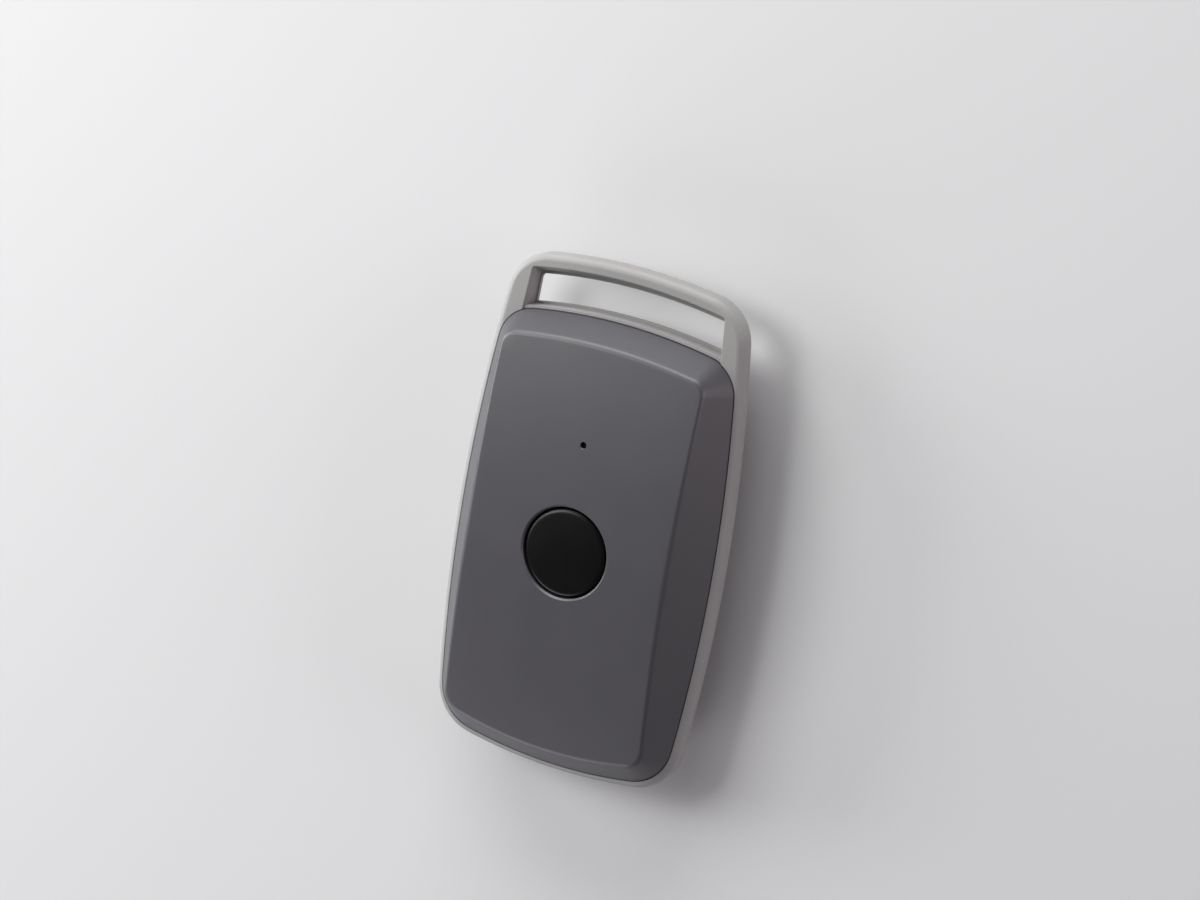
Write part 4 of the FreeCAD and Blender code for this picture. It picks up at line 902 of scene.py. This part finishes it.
class PANIC_OT_alarm_button(bpy.types.Operator):
    """Round alarm button with a domed top, skirt, flange and stub"""

    bl_idname = "panic_button.alarm_button"
    bl_label = "Alarm button"

    def execute(self, context):
        settings = context.scene.panic_button
        button = Sizes(settings.button)
        radius = button.hole_radius - button.gap
        top = BUTTON_HIGH.z
        edge_z = top - button.dome
        sphere = (radius ** 2 + button.dome ** 2) / (2 * button.dome)
        skirt_wall, roof, tip_radius = 1.3, 1.5, 0.15
        flange_height, foot_bevel, flange_bevel = 0.7, 0.15, 0.1
        stub_radius, stub_z = 1.7, 14.2
        edge_steps, dome_steps, count = 12, 15, 128
        inner, roof_z = radius - skirt_wall, top - roof
        flange, flange_low = BUTTON_HIGH.x, BUTTON_LOW.z
        flange_high = flange_low + flange_height
        profile = [(tip_radius, stub_z), (stub_radius, stub_z), (stub_radius, roof_z),
                   (inner, roof_z), (inner, flange_low), (flange - foot_bevel, flange_low),
                   (flange, flange_low + foot_bevel), (flange, flange_high - flange_bevel),
                   (flange - flange_bevel, flange_high), (radius, flange_high)]

        def dome(across):
            """Height of the domed top above its edge."""
            return math.sqrt(sphere ** 2 - across ** 2) - math.sqrt(sphere ** 2 - radius ** 2)

        for inwards, upwards in quarter(edge_steps):
            across = radius - button.edge_round * inwards
            profile.append((across, edge_z - button.edge_drop * (1 - upwards) + dome(across)))
        for k in range(1, dome_steps):
            across = (radius - button.edge_round) * (1 - k / dome_steps)
            profile.append((across, edge_z + dome(across)))
        profile.append((tip_radius, top))
        piece = lathe("alarm_button_cap", profile, (0.0, BUTTON_Y), count)
        dress(piece, "push_button", "button_plastic",
              case_plastic("button plastic", settings.finish.button, roughness=0.32,
                           shine=0.3, grain=0.16),
              "alarm_button")
        return {"FINISHED"}


class PANIC_OT_case_screws(bpy.types.Operator):
    """Four pan-head screws with cross recesses and cut threads"""

    bl_idname = "panic_button.case_screws"
    bl_label = "Case screws"

    def execute(self, context):
        material = rolled_metal("zinc plated steel", (0.56, 0.56, 0.58), 0.3,
                                stretch=(1, 1, 1))
        screws = [self.screw("case_screw_%d" % (k + 1), place)
                  for k, place in enumerate(SCREW_PLACES)]
        for piece in screws:
            dress(piece, "housing", "screw_steel", material, angle=40.0)
        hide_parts("case_screws")
        return {"FINISHED"}

    def screw(self, name, place):
        """A screw with its head down: rounded head, thread that runs in and a tapered tip."""
        low, shoulder, tip = SCREWS_LOW.z, SCREWS_LOW.z + 1.5, SCREWS_HIGH.z
        head, head_inset, head_rise, head_edge, head_steps = SCREW_HEAD_RADIUS, 0.55, 0.45, 0.06, 6
        shank, core, pitch = 1.1, 0.82, 0.8
        run_in, taper, blunt = 12, 9, 0.05
        count, rows = 48, 96
        rings = [circle(head - head_inset * inwards, low + head_rise * (1 - upwards), count, place)
                 for inwards, upwards in reversed(quarter(head_steps))]
        rings.append(circle(head, shoulder - head_edge, count, place))
        rings.append(circle(head - head_edge, shoulder, count, place))
        for row in range(rows + 1):
            share = row / rows
            z = shoulder + (tip - shoulder) * share
            ease = min(1.0, share * run_in)
            point = min(1.0, max(blunt, (1 - share) * taper))
            ring = []
            for k in range(count):
                turn = math.tau * k / count
                tooth = abs(((z / pitch - k / count) % 1.0) * 2 - 1)
                radius = (core + (shank - core) * (tooth ** 2) * ease) * point
                ring.append(Vector((place[0] + radius * math.cos(turn),
                                    place[1] + radius * math.sin(turn), z)))
            rings.append(ring)
        piece = skin(name, rings)
        wings = [self.drive_wing(place, low, angle) for angle in (0.0, math.pi / 2)]
        combine(piece, wings, "DIFFERENCE")
        return piece

    @staticmethod
    def drive_wing(place, low, angle):
        """One tapered bar of the cross recess."""
        turn = Matrix.Rotation(angle, 3, "Z")
        middle = Vector((place[0], place[1], 0.0))
        rings = []
        for half_length, half_width, rise in ((1.15, 0.3, -0.2), (1.05, 0.27, 0.1),
                                              (0.45, 0.17, 0.9)):
            corners = ((-half_length, -half_width), (half_length, -half_width),
                       (half_length, half_width), (-half_length, half_width))
            rings.append([middle + turn @ corner for corner in at_height(corners, low + rise)])
        return skin("wing", rings)


class PANIC_OT_inner_parts(bpy.types.Operator):
    """Finishes of the gaskets, switch, battery parts and electronics"""

    bl_idname = "panic_button.inner_parts"
    bl_label = "Inner parts"

    def execute(self, context):
        paint(soft_rubber("silicone rubber", (0.02, 0.02, 0.021)),
              "front_gasket", "rear_gasket", "button_seal")
        paint(rolled_metal("spring steel", (0.62, 0.60, 0.56), 0.28),
              "switch_plate", "battery_clip", "battery_contact", "antenna")
        paint(rolled_metal("cell can", (0.66, 0.66, 0.67), 0.24, stretch=(1, 1, 1)), "coin_cell")
        paint(rolled_metal("tinned sheet", (0.68, 0.68, 0.66), 0.34), "radio_shield", "crystal")
        paint(moulded_black("black moulding", (0.016, 0.016, 0.017), 0.45),
              "switch_housing", "switch_plunger", "battery_holder")
        paint(moulded_black("chip compound", (0.02, 0.02, 0.021), 0.55, speck=0.25),
              "radio_chip", "microcontroller")
        paint(moulded_black("ferrite", (0.03, 0.03, 0.033), 0.5, speck=0.4), "drum_coil")
        paint(soft_rubber("foam", (0.035, 0.035, 0.04)), "battery_pad")
        paint(clear_plastic("clear plastic"), "light_guide")
        paint(lamp_plastic("lamp plastic"), "status_led")
        paint(board_laminate("circuit board"), "circuit_board")
        paint(capped_ceramic("chip ceramic", (0.36, 0.25, 0.14), reach=0.55), "chip_capacitors")
        paint(capped_ceramic("chip resistor", (0.02, 0.02, 0.022), reach=0.5), "chip_resistors")
        return {"FINISHED"}


class PANIC_OT_stage(bpy.types.Operator):
    """Pale floor, soft studio lamps and the camera"""

    bl_idname = "panic_button.stage"
    bl_label = "Stage"

    # Name, direction from the case, distance and size in metres, power in watts, tint
    LAMPS = (
        ("key", (-0.61, 0.32, 0.73), 0.75, (0.36, 0.36), 2.8, (1.0, 1.0, 1.0)),
        ("back light", (-0.28, 0.90, 0.32), 0.8, (0.72, 0.34), 6.3, (1.0, 1.0, 1.0)),
        ("left light", (-0.93, 0.14, 0.24), 0.8, (0.50, 0.34), 5.2, (1.0, 1.0, 1.0)),
        ("front light", (-0.45, -0.84, 0.30), 0.8, (0.50, 0.34), 2.1, (0.95, 0.90, 1.0)),
        ("right light", (0.92, 0.25, 0.25), 0.8, (0.50, 0.34), 2.0, (1.0, 0.87, 0.94)),
    )
    LOOK_AT = Vector((0.0, 0.0, 0.008))

    def execute(self, context):
        self.floor(context)
        self.world(context)
        for lamp in self.LAMPS:
            self.softbox(context, *lamp)
        self.camera(context)
        return {"FINISHED"}

    def floor(self, context):
        """Eight metres of pale paper under the case."""
        half = 4.0
        corners = ((-half, -half, 0), (half, -half, 0), (half, half, 0), (-half, half, 0))
        data = bpy.data.meshes.new("floor")
        data.from_pydata(corners, [], [(0, 1, 2, 3)])
        floor = bpy.data.objects.new("floor", data)
        context.scene.collection.objects.link(floor)
        finish = Finish("floor paper")
        pale = opaque(context.scene.panic_button.finish.floor)
        data.materials.append(finish.surface(
            Base_Color=finish.tint(finish.noise(60.0), opaque(pale, 0.99), pale),
            Roughness=0.85))

    @staticmethod
    def world(context):
        """Faint bluish light from all round."""
        world = bpy.data.worlds.new("studio")
        context.scene.world = world
        world.use_nodes = True
        background = world.node_tree.nodes["Background"]
        background.inputs["Color"].default_value = (0.93, 0.96, 1.0, 1.0)
        background.inputs["Strength"].default_value = 0.13

    def softbox(self, context, name, direction, distance, size, power, tint):
        """A rectangular lamp that faces the case."""
        lamp = bpy.data.lights.new(name, "AREA")
        lamp.shape = "RECTANGLE"
        lamp.size, lamp.size_y = size
        lamp.energy = power
        lamp.color = tint
        holder = bpy.data.objects.new(name, lamp)
        holder.location = self.LOOK_AT + Vector(direction).normalized() * distance
        holder.rotation_euler = Vector(direction).to_track_quat("Z", "Y").to_euler()
        context.scene.collection.objects.link(holder)

    @staticmethod
    def camera(context):
        """The photograph's viewpoint, solved from the case's outline."""
        tip, swing, roll = 0.256, -0.431, -0.170
        aside, above, away = 0.844, 10.748, 540.99
        focus_z = 7.0
        focal_pixels, picture_width = 3547.3, 1200
        turn = (Matrix.Rotation(-swing, 3, "Y") @ Matrix.Rotation(-tip, 3, "X")
                @ Matrix.Rotation(-roll, 3, "Z"))
        place = turn @ Vector((aside, above, away)) + Vector((0, 0, focus_z))
        data = bpy.data.cameras.new("camera")
        data.sensor_width = 36.0
        data.lens = focal_pixels / picture_width * data.sensor_width
        data.clip_start = 0.01
        data.clip_end = 20.0
        camera = bpy.data.objects.new("camera", data)
        camera.matrix_world = Matrix.Translation(place * MM) @ turn.to_4x4()
        context.scene.collection.objects.link(camera)
        context.scene.camera = camera
        context.scene.view_settings.view_transform = "Standard"


class PANIC_PT_panel(bpy.types.Panel):
    """Lists the pieces and their sizes"""

    bl_idname = "PANIC_PT_panel"
    bl_label = "Panic button"
    bl_space_type = "VIEW_3D"
    bl_region_type = "UI"
    bl_category = "Panic button"

    def draw(self, context):
        settings = context.scene.panic_button
        for operator in OPERATORS:
            self.layout.operator(operator.bl_idname)
        for title, group in (("Rim", settings.rim), ("Covers", settings.cover),
                             ("Button", settings.button), ("Finishes", settings.finish)):
            box = self.layout.box()
            box.label(text=title)
            for name in group.bl_rna.properties.keys():
                if name not in ("rna_type", "name"):
                    box.prop(group, name)


OPERATORS = (
    PANIC_OT_rim_frame,
    PANIC_OT_front_cover,
    PANIC_OT_rear_cover,
    PANIC_OT_alarm_button,
    PANIC_OT_case_screws,
    PANIC_OT_inner_parts,
    PANIC_OT_stage,
)
CLASSES = (RimSizes, CoverSizes, ButtonSizes, Finishes, PanicButtonSettings,
           *OPERATORS, PANIC_PT_panel)


def register():
    for item in CLASSES:
        bpy.utils.register_class(item)
    bpy.types.Scene.panic_button = PointerProperty(type=PanicButtonSettings)


def unregister():
    del bpy.types.Scene.panic_button
    for item in reversed(CLASSES):
        bpy.utils.unregister_class(item)


def main():
    register()
    for operator in OPERATORS:
        group, name = operator.bl_idname.split(".")
        getattr(getattr(bpy.ops, group), name)()


if __name__ == "__main__":
    main()
